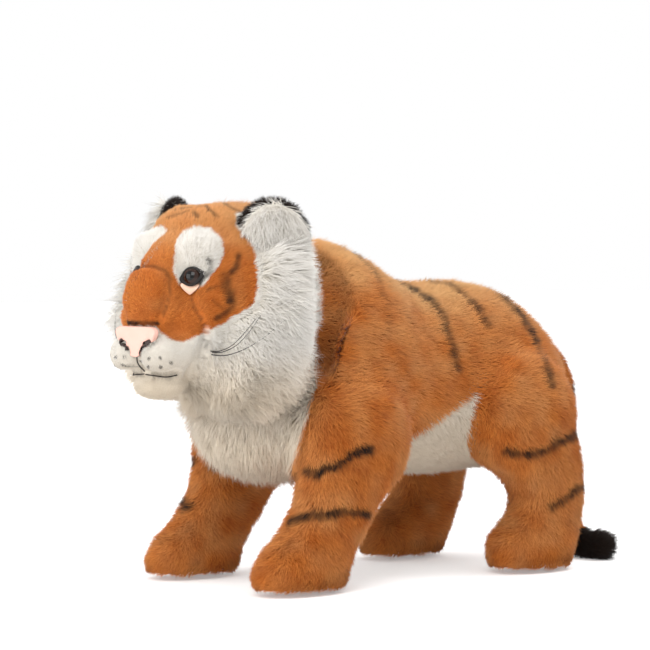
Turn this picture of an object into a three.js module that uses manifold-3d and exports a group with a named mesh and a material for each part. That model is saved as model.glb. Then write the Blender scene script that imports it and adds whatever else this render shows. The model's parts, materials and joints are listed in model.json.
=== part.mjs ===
// Plush tiger standing on four legs, in millimetres, +Z up, nose towards -Y, its left side on +X.
import * as THREE from 'three';
import { mergeVertices } from 'three/addons/utils/BufferGeometryUtils.js';
import Module from 'manifold-3d';

const wasm = await Module();
wasm.setup();

// Trunk, with the depth of the white panels sewn into its cover
const bodyLength = 400;
const shoulderHeight = 306;
const bodyWidth = 150;
const panelDepth = 14;

// Clearance between neighbouring pieces, and round what moves
const gap = 0.3;
const sweepGap = 1;
const overrun = 6;

// Head, measured from the neck pivot, turned a little to its left at rest
const headLength = 200;
const headHeight = 200;
const headWidth = 200;
const headForward = 47;
const headLift = 10;
const neckForward = 85;
const neckHeight = 227;
const neckRadius = 56;
const headYaw = 8;
const headTurnAngle = 15;
const headNodAngle = 7;

// Legs: one set of depths and widths serves all four
const legStance = 77;
const legDepth = 100;
const legWidth = 66;
const legRise = 163;
const frontHip = { back: -72, height: 131, radius: 62, archBack: 0 };
const hindHip = { back: 128, height: 143, radius: 60, archBack: 128 };
const legSwingAngle = 12;
const farFrontStride = 5;
const farHindStride = 27;

// Tail
const tailRadius = 12.5;
const tailRootBack = 226;
const tailRootHeight = 192;
const tailHangBack = 247;
const tailBendHeight = 112;
const tailReach = 52;
const tailTipReach = 24;
const tailWaist = 8;
const tailRim = 3;
const tailLiftAngle = 50;
const knuckleShare = 0.8;

// Eyes, each a domed button on a stem held by a washer inside the head
const eyeRadius = 7.5;
const eyeDome = 5;
const eyeYaw = 22;
const eyeTilt = 10;
const eyeStemRadius = 2;
const eyeStemLength = 14;
const eyeWasherRadius = 8;
const eyeWasherThickness = 2.4;
const eyeWasherDepth = 7;

// Nose, ears and whiskers
const noseWidth = 50;
const noseHeight = 26;
const noseThickness = 6;
const nostrilRadius = 3.4;
const earRadius = 35.5;
const earThickness = 13;
const earLiningRadius = 31;
const earYaw = 67;
const whiskerRadius = 0.5;

// Inner wire that lets the neck and legs hold a pose
const wireRadius = 1.6;
const wireGap = 0.5;
const spineHeight = 180;
const archShares = [-0.64, -0.3, 0.3, 0.64];

// Sides of round forms
const ballSides = 20;
const knuckleSides = 12;
const haunchSides = 16;
const wireSides = 5;
const wireSteps = 9;

const fur = { roughness: 0.95, metalness: 0 };
const finishes = {
  orange: { color: 0xc4702f, ...fur },
  white: { color: 0xefe9df, ...fur },
  cream: { color: 0xe3d8c8, ...fur },
  black: { color: 0x17130f, ...fur },
  pink: { color: 0xd99d8d, roughness: 0.7, metalness: 0 },
  glossBrown: { color: 0x2b170d, roughness: 0.12, metalness: 0 },
  plastic: { color: 0xd8d5ce, roughness: 0.5, metalness: 0 },
  wire: { color: 0x9b9da1, roughness: 0.35, metalness: 0.9 },
  bristle: { color: 0x1d1915, roughness: 0.5, metalness: 0 },
};

const alongX = new THREE.Vector3(1, 0, 0);
const alongZ = new THREE.Vector3(0, 0, 1);

/** Moves, then turns about Z and X in degrees, in the order a jointed piece hangs. */
function placed(x, y, z, yaw = 0, nod = 0) {
  const move = new THREE.Matrix4().makeTranslation(x, y, z);
  const turned = new THREE.Matrix4().makeRotationZ(THREE.MathUtils.degToRad(yaw));
  const tipped = new THREE.Matrix4().makeRotationX(THREE.MathUtils.degToRad(nod));
  return move.multiply(turned).multiply(tipped);
}

/** Turns a closed geometry, moved by a matrix, into a solid that can be joined and cut. */
function solidOf(geometry, matrix = new THREE.Matrix4()) {
  const bare = geometry.clone().applyMatrix4(matrix);
  bare.deleteAttribute('normal');
  bare.deleteAttribute('uv');
  const merged = mergeVertices(bare);
  const triVerts = new Uint32Array(merged.index.array);
  const vertProperties = new Float32Array(merged.attributes.position.array);
  return new wasm.Manifold(new wasm.Mesh({ numProp: 3, vertProperties, triVerts }));
}

/** One solid of several. */
function join(solids) {
  return solids.reduce((sum, next) => sum.add(next));
}

/** What is left of a solid after the others are taken from it. */
function cut(base, ...tools) {
  return tools.reduce((left, tool) => left.subtract(tool), base);
}

/** Adds a solid to a parent as one named piece. */
function addPiece(parent, name, solid, finish) {
  const { vertProperties, triVerts } = solid.getMesh();
  const geometry = new THREE.BufferGeometry();
  geometry.setAttribute('position', new THREE.BufferAttribute(new Float32Array(vertProperties), 3));
  geometry.setIndex(new THREE.BufferAttribute(new Uint32Array(triVerts), 1));
  const mesh = new THREE.Mesh(geometry, new THREE.MeshStandardMaterial(finish));
  mesh.name = name;
  parent.add(mesh);
}

/** Closed skin through rings of points, with a point at the middle of each end ring. */
function skinOver(rings) {
  const sides = rings[0].length;
  const points = rings.flat();
  const faces = [];
  for (let ring = 0; ring + 1 < rings.length; ring += 1) {
    for (let side = 0; side < sides; side += 1) {
      const a = ring * sides + side;
      const b = ring * sides + ((side + 1) % sides);
      faces.push(a, b, b + sides, a, b + sides, a + sides);
    }
  }
  for (const [ring, first] of [[0, true], [rings.length - 1, false]]) {
    const middle = rings[ring].reduce((sum, point) => sum.add(point), new THREE.Vector3());
    points.push(middle.divideScalar(sides));
    for (let side = 0; side < sides; side += 1) {
      const a = ring * sides + side;
      const b = ring * sides + ((side + 1) % sides);
      faces.push(...(first ? [b, a] : [a, b]), points.length - 1);
    }
  }
  const geometry = new THREE.BufferGeometry().setFromPoints(points);
  geometry.setIndex(faces);
  return geometry;
}

/** Rounded section round a centre: power 2 is an ellipse, more is boxier. */
function section(centre, reach, across, up, sides, power) {
  const ring = [];
  for (let side = 0; side < sides; side += 1) {
    const angle = (side / sides) * 2 * Math.PI;
    const c = Math.cos(angle);
    const s = Math.sin(angle);
    const x = Math.sign(c) * Math.abs(c) ** (2 / power) * reach[0];
    const y = Math.sign(s) * Math.abs(s) ** (2 / power) * reach[1];
    ring.push(centre.clone().addScaledVector(across, x).addScaledVector(up, y));
  }
  return ring;
}

/** Stuffed form in level slices: height, front, back, inner and outer shares of its sizes. */
function levelForm(rows, size, sides, power, grow = 0) {
  const rings = rows.map(([height, front, back, inner, outer], index) => {
    const isTop = index === rows.length - 1;
    const rise = (isTop ? grow : 0) - (index === 0 ? grow : 0);
    const middle = new THREE.Vector3((inner + outer) / 2 * size.x, (front + back) / 2 * size.y,
      height * size.z + rise);
    const reach = [(outer - inner) / 2 * size.x + grow, (back - front) / 2 * size.y + grow];
    return section(middle, reach, alongX, new THREE.Vector3(0, 1, 0), sides, power);
  });
  return skinOver(rings);
}

/** The same slices, or those of the right side. */
function mirrored(rows, side) {
  if (side > 0) return rows;
  return rows.map(([height, front, back, inner, outer]) => [height, front, back, -outer, -inner]);
}

/** Round lump with its three half sizes and its poles on Y. */
function lump(x, y, z, sides = 14) {
  return new THREE.SphereGeometry(1, sides, sides / 2).scale(x, y, z);
}

function ball(radius, matrix, sides = ballSides) {
  return solidOf(lump(radius, radius, radius, sides), matrix);
}

/** Radius of a faceted socket in which a faceted ball of the same sides turns freely. */
function socketRadius(radius, sides = ballSides) {
  return (radius + gap) / Math.cos(Math.PI / sides) ** 2;
}

/** Round tube along a smooth route. */
function tubeAlong(points, radius, steps, sides = wireSides) {
  const outline = new THREE.Shape();
  for (let side = 0; side < sides; side += 1) {
    const angle = (side / sides) * 2 * Math.PI;
    const corner = [Math.cos(angle) * radius, Math.sin(angle) * radius];
    if (side === 0) outline.moveTo(...corner);
    else outline.lineTo(...corner);
  }
  const path = new THREE.CatmullRomCurve3(points, false, 'catmullrom', 0.5);
  const settings = { steps, bevelEnabled: false, extrudePath: path };
  return solidOf(new THREE.ExtrudeGeometry(outline, settings));
}

function points(rows) {
  return rows.map((row) => new THREE.Vector3(...row));
}

const innerLeastShare = 0.2;

// Trunk slices: back, top, bottom and half width, as shares of its length, height and width
const trunkShares = [
  [-0.430, 0.683, 0.467, 0.09], [-0.415, 0.760, 0.407, 0.25], [-0.375, 0.850, 0.353, 0.39],
  [-0.312, 0.943, 0.320, 0.50], [-0.225, 0.997, 0.307, 0.58], [-0.137, 1.0, 0.30, 0.59],
  [-0.037, 0.947, 0.30, 0.56], [0.05, 0.876, 0.30, 0.51], [0.15, 0.868, 0.29, 0.487],
  [0.25, 0.873, 0.29, 0.49], [0.35, 0.85, 0.30, 0.49], [0.437, 0.785, 0.35, 0.44],
  [0.50, 0.705, 0.433, 0.34], [0.54, 0.635, 0.517, 0.23], [0.565, 0.59, 0.55, 0.11],
];

/** Trunk form, or with depth its inner limit, which stops the panels. */
function trunkForm(depth = 0) {
  const rings = trunkShares.map(([back, top, bottom, half]) => {
    const middle = new THREE.Vector3(0, back * bodyLength, (top + bottom) / 2 * shoulderHeight);
    const high = (top - bottom) / 2 * shoulderHeight;
    const wide = half * bodyWidth;
    const reach = [Math.max(high - depth, high * innerLeastShare),
      Math.max(wide - depth, wide * innerLeastShare)];
    return section(middle, reach, alongZ, alongX, 20, 2.2);
  });
  return solidOf(skinOver(rings));
}

// Leg slices: height, front, back, inner and outer, as shares of the leg's sizes, from its hip
const frontLegShares = [
  [0, -1.02, -0.18, -0.41, 0.41], [0.045, -1.09, -0.09, -0.47, 0.47],
  [0.125, -1.105, -0.085, -0.485, 0.485], [0.225, -0.975, -0.025, -0.485, 0.485],
  [0.325, -0.78, 0.10, -0.47, 0.47], [0.4875, -0.615, 0.265, -0.47, 0.47],
  [0.625, -0.58, 0.43, -0.485, 0.485], [0.7375, -0.60, 0.54, -0.5, 0.5],
  [0.84, -0.46, 0.46, -0.36, 0.36],
];
const hindLegShares = [
  [0, -0.35, 0.49, -0.41, 0.41], [0.045, -0.42, 0.57, -0.47, 0.47],
  [0.125, -0.43, 0.57, -0.485, 0.485], [0.2, -0.395, 0.595, -0.485, 0.485],
  [0.2875, -0.22, 0.63, -0.47, 0.47], [0.406, -0.06, 0.65, -0.47, 0.47],
  [0.55, -0.29, 0.66, -0.485, 0.485], [0.63, -0.52, 0.64, -0.5, 0.5],
  [0.75, -0.59, 0.60, -0.5, 0.5], [0.93, -0.44, 0.44, -0.34, 0.34],
];

const legs = [
  { name: 'front_leg_left', side: 1, hip: frontHip, shares: frontLegShares, stride: 0 },
  { name: 'front_leg_right', side: -1, hip: frontHip, shares: frontLegShares, stride: farFrontStride },
  { name: 'hind_leg_left', side: 1, hip: hindHip, shares: hindLegShares, stride: 0 },
  { name: 'hind_leg_right', side: -1, hip: hindHip, shares: hindLegShares, stride: farHindStride },
];

/** A leg's slices with its paw set forward by the stride. */
function legRows({ shares, hip, stride }) {
  return shares.map(([height, front, back, inner, outer]) => {
    const step = (stride * Math.max(0, 1 - (height * legRise) / hip.height)) / legDepth;
    return [height, front - step, back - step, inner, outer];
  });
}

/** Leg below the hip, from the hip's own centre, swung by an angle. */
function shaft(leg, grow, swing) {
  const size = { x: legWidth, y: legDepth, z: legRise };
  const form = levelForm(legRows(leg), size, 14, 2.3, grow);
  return solidOf(form.translate(0, 0, -leg.hip.height), placed(0, 0, 0, 0, swing));
}

/** Haunch or shoulder: a lens round the hinge line, so that it turns in its pocket. */
function haunch(leg, grow = 0) {
  const rim = (leg.hip.radius + grow) / (grow ? Math.cos(Math.PI / haunchSides) : 1);
  const lens = new THREE.SphereGeometry(1, haunchSides, haunchSides / 2).rotateZ(Math.PI / 2);
  return solidOf(lens.scale(legWidth / 2 + grow, rim, rim));
}

/** Everything a leg passes through, in the trunk's frame. */
function legSweep(leg) {
  const swings = [-1, 0, 1].map((share) => shaft(leg, sweepGap, share * legSwingAngle));
  const whole = join([haunch(leg, gap), ...swings]);
  const hip = placed(leg.side * legStance, leg.hip.back, leg.hip.height);
  return moved(whole, hip);
}

/** Moves a solid by rebuilding it from its own mesh. */
function moved(solid, matrix) {
  const { vertProperties, triVerts } = solid.getMesh();
  const geometry = new THREE.BufferGeometry();
  geometry.setAttribute('position', new THREE.BufferAttribute(new Float32Array(vertProperties), 3));
  geometry.setIndex(new THREE.BufferAttribute(new Uint32Array(triVerts), 1));
  return solidOf(geometry, matrix);
}

/** Route of a leg's wire: in along the hinge line, then down the middle of the leg. */
function legWireRoute(leg) {
  const inner = -leg.side * legWidth / 2;
  const rows = legRows(leg).slice(2, -3).reverse();
  const middle = rows.map(([height, front, back]) => [
    0, (front + back) / 2 * legDepth, height * legRise - leg.hip.height]);
  return points([[inner - leg.side * overrun, 0, 0], [inner / 2, 0, 0], ...middle]);
}

function addLeg(parent, leg) {
  const form = shaft(leg, 0, 0).add(haunch(leg));
  const route = legWireRoute(leg);
  const holder = new THREE.Group();
  holder.position.set(leg.side * legStance, leg.hip.back, leg.hip.height);
  const bore = tubeAlong(route, wireRadius + wireGap, wireSteps);
  const wire = tubeAlong(route, wireRadius, wireSteps).intersect(form);
  addPiece(holder, leg.name, cut(form, bore), finishes.orange);
  addPiece(holder, `${leg.name}_wire`, wire, finishes.wire);
  parent.add(holder);
}

// Head slices: height, front, back, inner and outer, as shares of the head's sizes
const skullShares = [
  [-0.35, -0.33, -0.06, -0.14, 0.14], [-0.31, -0.43, 0.04, -0.27, 0.27],
  [-0.225, -0.50, 0.11, -0.36, 0.36], [-0.10, -0.54, 0.15, -0.405, 0.405],
  [0.05, -0.555, 0.16, -0.42, 0.42], [0.20, -0.545, 0.15, -0.40, 0.40],
  [0.33, -0.505, 0.11, -0.335, 0.335], [0.43, -0.44, 0.04, -0.245, 0.245],
  [0.48, -0.36, -0.04, -0.165, 0.165], [0.50, -0.27, -0.14, -0.07, 0.07],
];
const bridgeShares = [
  [-0.045, -0.655, -0.45, -0.12, 0.12], [0, -0.685, -0.44, -0.135, 0.135],
  [0.08, -0.68, -0.42, -0.135, 0.135], [0.15, -0.662, -0.40, -0.128, 0.128],
  [0.20, -0.625, -0.40, -0.11, 0.11], [0.255, -0.58, -0.39, -0.09, 0.09],
  [0.32, -0.535, -0.38, -0.06, 0.06], [0.38, -0.49, -0.38, -0.03, 0.03],
];
const ruffShares = [
  [-0.36, -0.36, -0.20, 0.15, 0.24], [-0.32, -0.42, -0.14, 0.14, 0.31],
  [-0.25, -0.43, -0.08, 0.20, 0.385], [-0.15, -0.42, -0.03, 0.26, 0.44],
  [-0.025, -0.41, 0.01, 0.29, 0.46], [0.10, -0.39, 0.02, 0.29, 0.46],
  [0.225, -0.34, 0.02, 0.28, 0.43], [0.31, -0.26, -0.02, 0.27, 0.39],
];

// Places on the face, then the half sizes of the two lumps, as shares of the head's sizes
const padPlaceShares = [0.08, -0.57, -0.14];
const padShares = [0.14, 0.1275, 0.105];
const chinPlaceShares = [0, -0.545, -0.27];
const chinShares = [0.14, 0.11, 0.075];
const cheekPlaceShares = [0.18, -0.45, -0.01];
const cheekShares = [0.14, 0.12, 0.12];
const eyePlaceShares = [0.169, -0.516, 0.19];
const nosePlaceShares = [0, -0.692, -0.02];
const earPlaceShares = [0.30, -0.17, 0.35];
const headSize = { x: headWidth, y: headLength, z: headHeight };

/** Point on one side of the face from its shares, grown to the head's sizes. */
function onFace([across, back, high], side = 1) {
  return [side * across * headWidth, back * headLength, high * headHeight];
}

function skull(grow = 0) {
  return solidOf(levelForm(skullShares, headSize, 20, 2.3, grow));
}

function ruff(side, grow = 0) {
  return solidOf(levelForm(mirrored(ruffShares, side), headSize, 14, 2.2, grow));
}

/** Socket for the neck ball, turned half a facet so that the ball's corners bear on its flats. */
function neckSocket() {
  const half = 180 / ballSides;
  return ball(socketRadius(neckRadius), placed(0, headForward, -headLift, half, half));
}

/** Button eye about its own stem: a dome in front, a stem behind. */
function eyeProfile(grow = 0) {
  const rim = eyeRadius + grow;
  const stem = eyeStemRadius + grow;
  const end = -eyeStemLength - grow;
  const profile = [[0, end], [stem, end], [stem, -grow], [rim, -grow]];
  for (let step = 1; step <= 3; step += 1) {
    const angle = (step / 3) * (Math.PI / 2);
    profile.push([rim * Math.cos(angle), (eyeDome + grow) * Math.sin(angle)]);
  }
  profile[profile.length - 1][0] = 0;
  return new THREE.LatheGeometry(profile.map((p) => new THREE.Vector2(...p)), 12);
}

/** Washer that holds the stem: a ring, or with grow the disc of room round it. */
function washerProfile(grow = 0) {
  const inner = grow ? eyeStemRadius / 2 : eyeStemRadius + gap;
  const outer = eyeWasherRadius + grow;
  const top = -eyeWasherDepth + grow;
  const bottom = top - eyeWasherThickness - 2 * grow;
  const profile = [[inner, bottom], [outer, bottom], [outer, top], [inner, top], [inner, bottom]];
  return new THREE.LatheGeometry(profile.map((p) => new THREE.Vector2(...p)), 12);
}

function eyePlace(side) {
  return placed(...onFace(eyePlaceShares, side), side * eyeYaw, 180 - eyeTilt);
}

/** Round plate of an ear, or with forward the furred lining in front of it. */
function earSolid(side, radius, forward, grow = 0) {
  const plate = lump(radius + grow, earThickness / 2 + grow, radius + grow, 14);
  const seat = placed(...onFace(earPlaceShares, side), side * earYaw);
  return solidOf(plate.translate(0, -forward, 0), seat);
}

const [tipShare, shoulderShare, cornerShare] = [0.12, 0.62, 0.22];

/** Nose leather: a rounded triangle, wide above, with two nostril dimples. */
function noseSolid() {
  const half = noseWidth / 2;
  const tip = half * tipShare;
  const shoulder = half * shoulderShare;
  const corner = -noseHeight * cornerShare;
  const outline = new THREE.Shape();
  outline.moveTo(-half, corner);
  outline.quadraticCurveTo(-half, 0, -shoulder, 0);
  outline.lineTo(shoulder, 0);
  outline.quadraticCurveTo(half, 0, half, corner);
  outline.quadraticCurveTo(shoulder, -noseHeight, tip, -noseHeight);
  outline.lineTo(-tip, -noseHeight);
  outline.quadraticCurveTo(-shoulder, -noseHeight, -half, corner);
  const settings = { depth: noseThickness, bevelEnabled: false, curveSegments: 4 };
  const plate = new THREE.ExtrudeGeometry(outline, settings);
  const [, front, top] = onFace(nosePlaceShares);
  const upright = plate.rotateX(Math.PI / 2).translate(0, front + noseThickness, top);
  const dimples = [-1, 1].map((side) => solidOf(lump(nostrilRadius, nostrilRadius, nostrilRadius, 8),
    placed(side * noseWidth / 4, front, top - noseHeight / 2)));
  return cut(solidOf(upright), ...dimples);
}

// Whisker routes on the left: root, middle and tip, as shares of the head's sizes
const whiskerShares = [
  [[0.235, -0.47, -0.125], [0.36, -0.475, -0.115], [0.44, -0.40, 0.02]],
  [[0.24, -0.465, -0.13], [0.37, -0.46, -0.12], [0.455, -0.39, 0.03]],
  [[0.235, -0.465, -0.14], [0.39, -0.44, -0.13], [0.50, -0.30, 0.005]],
];

function whisker(side, rows) {
  return tubeAlong(points(rows.map((row) => onFace(row, side))), whiskerRadius, 6, 4);
}

/** Lump on one side of the face, from the shares of its place and half sizes. */
function faceLump(placeShares, shares, side = 1, grow = 0) {
  const reach = onFace(shares).map((half) => half + grow);
  return solidOf(lump(...reach), placed(...onFace(placeShares, side)));
}

/** Both muzzle pads as one form. */
function pads(grow = 0) {
  return join([1, -1].map((side) => faceLump(padPlaceShares, padShares, side, grow)));
}

function bridge(grow = 0) {
  return solidOf(levelForm(bridgeShares, headSize, 20, 3.2, grow));
}

/** Neck ball with its length of wire. */
function addNeck(neck) {
  const route = points([[0, neckRadius + overrun, 0], [0, 0, 0], [0, -neckRadius - overrun, 0]]);
  const core = ball(neckRadius);
  addPiece(neck, 'neck', cut(core, tubeAlong(route, wireRadius + wireGap, 2)), finishes.orange);
  addPiece(neck, 'neck_wire', tubeAlong(route, wireRadius, 2).intersect(core), finishes.wire);
}

/** Skull with its two full cheeks. */
function cheekedSkull(grow = 0) {
  const cheeks = [1, -1].map((side) => faceLump(cheekPlaceShares, cheekShares, side, grow));
  return join([skull(grow), ...cheeks]);
}

/** Skull with the wire and the eyes' pockets in it. */
function addSkull(face) {
  const back = headForward - neckRadius;
  const route = points([[0, back + overrun, -headLift], [0, back - overrun, -headLift],
    [0, -headForward, -headLift]]);
  const core = cut(cheekedSkull(), neckSocket());
  const pockets = [-1, 1].flatMap((side) => [eyeProfile(gap), washerProfile(gap)]
    .map((profile) => solidOf(profile, eyePlace(side))));
  const bore = tubeAlong(route, wireRadius + wireGap, 4);
  addPiece(face, 'head', cut(core, bore, ...pockets), finishes.orange);
  addPiece(face, 'head_wire', tubeAlong(route, wireRadius, 4).intersect(core), finishes.wire);
}

/** Muzzle, bridge, nose and chin. */
function addSnout(face) {
  const room = cheekedSkull(gap);
  addPiece(face, 'muzzle', cut(pads(), room), finishes.white);
  addPiece(face, 'nose_bridge', cut(bridge(), room, pads(gap)), finishes.orange);
  addPiece(face, 'nose', cut(noseSolid(), pads(gap), bridge(gap)), finishes.pink);
  addPiece(face, 'chin', cut(faceLump(chinPlaceShares, chinShares), room, pads(gap)), finishes.white);
}

/** Eye, ear, cheek ruff and whiskers of one side. */
function addSide(face, side) {
  const label = side > 0 ? 'left' : 'right';
  const room = cheekedSkull(gap);
  addPiece(face, `eye_${label}`, solidOf(eyeProfile(), eyePlace(side)), finishes.glossBrown);
  addPiece(face, `eye_washer_${label}`, solidOf(washerProfile(), eyePlace(side)), finishes.plastic);

  const half = earThickness / 2;
  const ear = earSolid(side, earRadius, 0);
  const earRoom = earSolid(side, earRadius, 0, gap);
  const lining = earSolid(side, earLiningRadius, half);
  const liningRoom = earSolid(side, earLiningRadius, half, gap);
  addPiece(face, `ear_${label}`, cut(ear, room), finishes.black);
  addPiece(face, `ear_lining_${label}`, cut(lining, room, earRoom), finishes.white);
  const cheek = cut(ruff(side), room, neckSocket(), earRoom, liningRoom);
  addPiece(face, `cheek_ruff_${label}`, cheek, finishes.white);

  whiskerShares.forEach((rows, index) => {
    const bristle = cut(whisker(side, rows), room, pads(gap));
    addPiece(face, `whisker_${label}_${index + 1}`, bristle, finishes.bristle);
  });
}

/** The face hangs from the neck ball, so that it nods about the turned neck's own X. */
function addHead(parent) {
  const neck = new THREE.Group();
  neck.position.set(0, -neckForward, neckHeight);
  neck.rotation.z = THREE.MathUtils.degToRad(headYaw);
  addNeck(neck);
  const face = new THREE.Group();
  face.position.set(0, -headForward, headLift);
  addSkull(face);
  addSnout(face);
  addSide(face, 1);
  addSide(face, -1);
  neck.add(face);
  parent.add(neck);
}

/** Spine wire with an arch to each pair of hips. */
function spineWire(radius) {
  const arches = [frontHip, hindHip].map((hip) => {
    const top = [0, hip.archBack, spineHeight];
    const ends = archShares.map((share) => [legStance * share, hip.back, hip.height]);
    return tubeAlong(points([...ends.slice(0, 2), top, ...ends.slice(2)]), radius, 12);
  });
  const spine = points([[0, -neckForward + neckRadius - overrun, neckHeight],
    [0, -neckForward + neckRadius + overrun, neckHeight], [0, 0, spineHeight],
    [0, hindHip.back, spineHeight], [0, hindHip.back + legDepth / 2, spineHeight]]);
  return join([tubeAlong(spine, radius, 10), ...arches]);
}

/** Outline in the side view, pushed right across the trunk, a little larger if grown. */
function sideBlock(outline, grow = 0) {
  const depth = bodyWidth + 2 * overrun;
  const bevel = { bevelEnabled: grow > 0, bevelThickness: grow, bevelSize: grow, bevelSegments: 1 };
  const block = new THREE.ExtrudeGeometry(new THREE.Shape(outline), { depth, ...bevel });
  const upright = new THREE.Matrix4().makeBasis(new THREE.Vector3(0, 1, 0), alongZ, alongX);
  return solidOf(block.translate(0, 0, -depth / 2), upright);
}

function trunkOutline(rows) {
  return rows.map(([back, high]) => new THREE.Vector2(back * bodyLength, high * shoulderHeight));
}

/** Side outline of the room that a part of the head needs to turn and nod, from its slices. */
function headRoom(rows) {
  const [turned, nodded] = [headTurnAngle, headNodAngle].map(THREE.MathUtils.degToRad);
  const slices = rows.map(([height, front, back, inner, outer]) => ({
    z: height * headHeight + headLift,
    front: front * headLength - headForward,
    back: back * headLength - headForward,
    side: outer * headWidth,
  }));
  const behind = slices.map(({ z, back, side }) => {
    const swung = back * Math.cos(turned) + side * Math.sin(turned);
    const dip = z < 0 ? Math.abs(back) * Math.sin(nodded) + sweepGap : 0;
    return new THREE.Vector2(swung + Math.abs(z) * Math.sin(nodded) + sweepGap, z - dip);
  });
  const [first] = slices;
  const low = first.z + first.front * Math.sin(nodded) - sweepGap;
  const ahead = [new THREE.Vector2(-headLength, low), new THREE.Vector2(first.front, low)];
  const above = [behind[behind.length - 1].x, -headLength].map((y) => new THREE.Vector2(y, headHeight));
  const pivot = new THREE.Vector2(-neckForward, neckHeight);
  return [...ahead, ...behind, ...above].map((point) => point.add(pivot));
}

// Side outlines of the two white panels, as shares of the trunk's length and height
const bibShares = [[-0.5, 0.2], [-0.26, 0.2], [-0.26, 0.40], [-0.33, 0.56], [-0.5, 0.70]];
const bellyShares = [
  [-0.06, 0.15], [0.40, 0.15], [0.345, 0.40], [0.31, 0.50], [0.26, 0.593], [0.15, 0.507],
  [0.04, 0.427], [-0.06, 0.37],
];

// Tail routes: back and drop shares above its bend, reach and height shares below it
const tailUpperShares = [[0, 0], [0.7, 0.2], [1, 0.55]];
const tailLowerShares = [[0, 0.62], [0.08, 0.35], [0.4, 0.14], [0.7, 0.1], [1, 0.1]];

/** Tail from the rump down to its bend, swung up by an angle about its root. */
function tailUpper(lift = 0, grow = 0) {
  const hang = tailHangBack - tailRootBack;
  const drop = tailBendHeight - tailRootHeight;
  const bends = tailUpperShares.map(([back, down]) => [0, hang * back, drop * down]);
  const route = points([...bends, [0, hang, drop + tailRim]]);
  const tube = tubeAlong(route, tailRadius + grow, 6, knuckleSides);
  const root = placed(0, tailRootBack, tailRootHeight, 0, lift);
  return moved(tube.add(ball(tailRadius, placed(0, 0, 0), knuckleSides)), root);
}

/** Tail from its bend down to the floor, where it turns to the left. */
function tailLower() {
  const low = tailRadius + gap;
  const bends = tailLowerShares.map(([reach, high]) => [
    tailReach * reach, tailHangBack, Math.max(tailBendHeight * high, low)]);
  const route = points([[0, tailHangBack, tailBendHeight - tailWaist], ...bends]);
  const end = ball(tailRadius, placed(tailReach, tailHangBack, low), knuckleSides);
  const bend = placed(0, tailHangBack, tailBendHeight);
  const knuckle = ball(tailRadius * knuckleShare, bend, knuckleSides);
  return join([tubeAlong(route, tailRadius, 12, knuckleSides), end, knuckle]);
}

function addTail(parent) {
  const bend = placed(0, tailHangBack, tailBendHeight);
  const seat = ball(socketRadius(tailRadius * knuckleShare, knuckleSides), bend, knuckleSides);
  addPiece(parent, 'tail_upper', cut(tailUpper(), seat), finishes.orange);
  const lower = tailLower();
  const side = new THREE.BoxGeometry(tailReach * 2, tailRadius * 6, tailRadius * 6);
  const tipBox = (start) => solidOf(side, placed(start + tailReach, tailHangBack, 0));
  addPiece(parent, 'tail_lower', cut(lower, tipBox(tailTipReach)), finishes.orange);
  addPiece(parent, 'tail_tip', lower.intersect(tipBox(tailTipReach + gap)), finishes.black);
}

// Steps of the tail's lift at which its way is cut out of the rump
const liftShares = [0, 0.33, 0.67, 1];

/** Trunk without the room that the head, the legs and the tail move in. */
function trunkBody() {
  const neckSeat = ball(socketRadius(neckRadius), placed(0, -neckForward, neckHeight));
  const tailRoot = placed(0, tailRootBack, tailRootHeight);
  const tailSeat = ball(socketRadius(tailRadius, knuckleSides), tailRoot, knuckleSides);
  const tailSweep = join(liftShares.map((share) => tailUpper(share * tailLiftAngle, sweepGap)));
  const rooms = [skullShares, ruffShares].map((rows) => sideBlock(headRoom(rows)));
  return cut(trunkForm(), ...rooms, neckSeat, tailSeat, tailSweep, ...legs.map(legSweep));
}

/** Panel sewn into the trunk's cover, within a side outline. */
function panel(body, rows, bore) {
  return cut(body.intersect(sideBlock(trunkOutline(rows))), trunkForm(panelDepth), bore);
}

function addTrunk(parent) {
  const body = trunkBody();
  const behindPanels = trunkForm(panelDepth + gap);
  const seats = [bibShares, bellyShares]
    .map((rows) => cut(sideBlock(trunkOutline(rows), gap), behindPanels));
  const bore = spineWire(wireRadius + wireGap);
  addPiece(parent, 'torso', cut(body, ...seats, bore), finishes.orange);
  addPiece(parent, 'chest_bib', panel(body, bibShares, bore), finishes.cream);
  addPiece(parent, 'belly_panel', panel(body, bellyShares, bore), finishes.white);
  addPiece(parent, 'spine_wire', spineWire(wireRadius).intersect(body), finishes.wire);
}

const tiger = new THREE.Group();
addTrunk(tiger);
addHead(tiger);
legs.forEach((leg) => addLeg(tiger, leg));
addTail(tiger);

// The origin is on the floor under the middle of the whole toy
const box = new THREE.Box3().setFromObject(tiger, true);
tiger.position.set(-(box.min.x + box.max.x) / 2, -(box.min.y + box.max.y) / 2, -box.min.z);
const group = new THREE.Group();
group.name = 'plush_tiger';
group.add(tiger);

export default group;
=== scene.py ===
"""Plush tiger: stuffed forms, combed pile, face and studio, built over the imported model.

Lengths are in metres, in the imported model's own frame: +Z is up and the nose points to -Y.
"""

import json
import logging
import math
from collections.abc import Callable
from dataclasses import dataclass
from enum import Enum

import bpy
import numpy as np
from mathutils import Matrix, Vector
from mathutils.bvhtree import BVHTree

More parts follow.
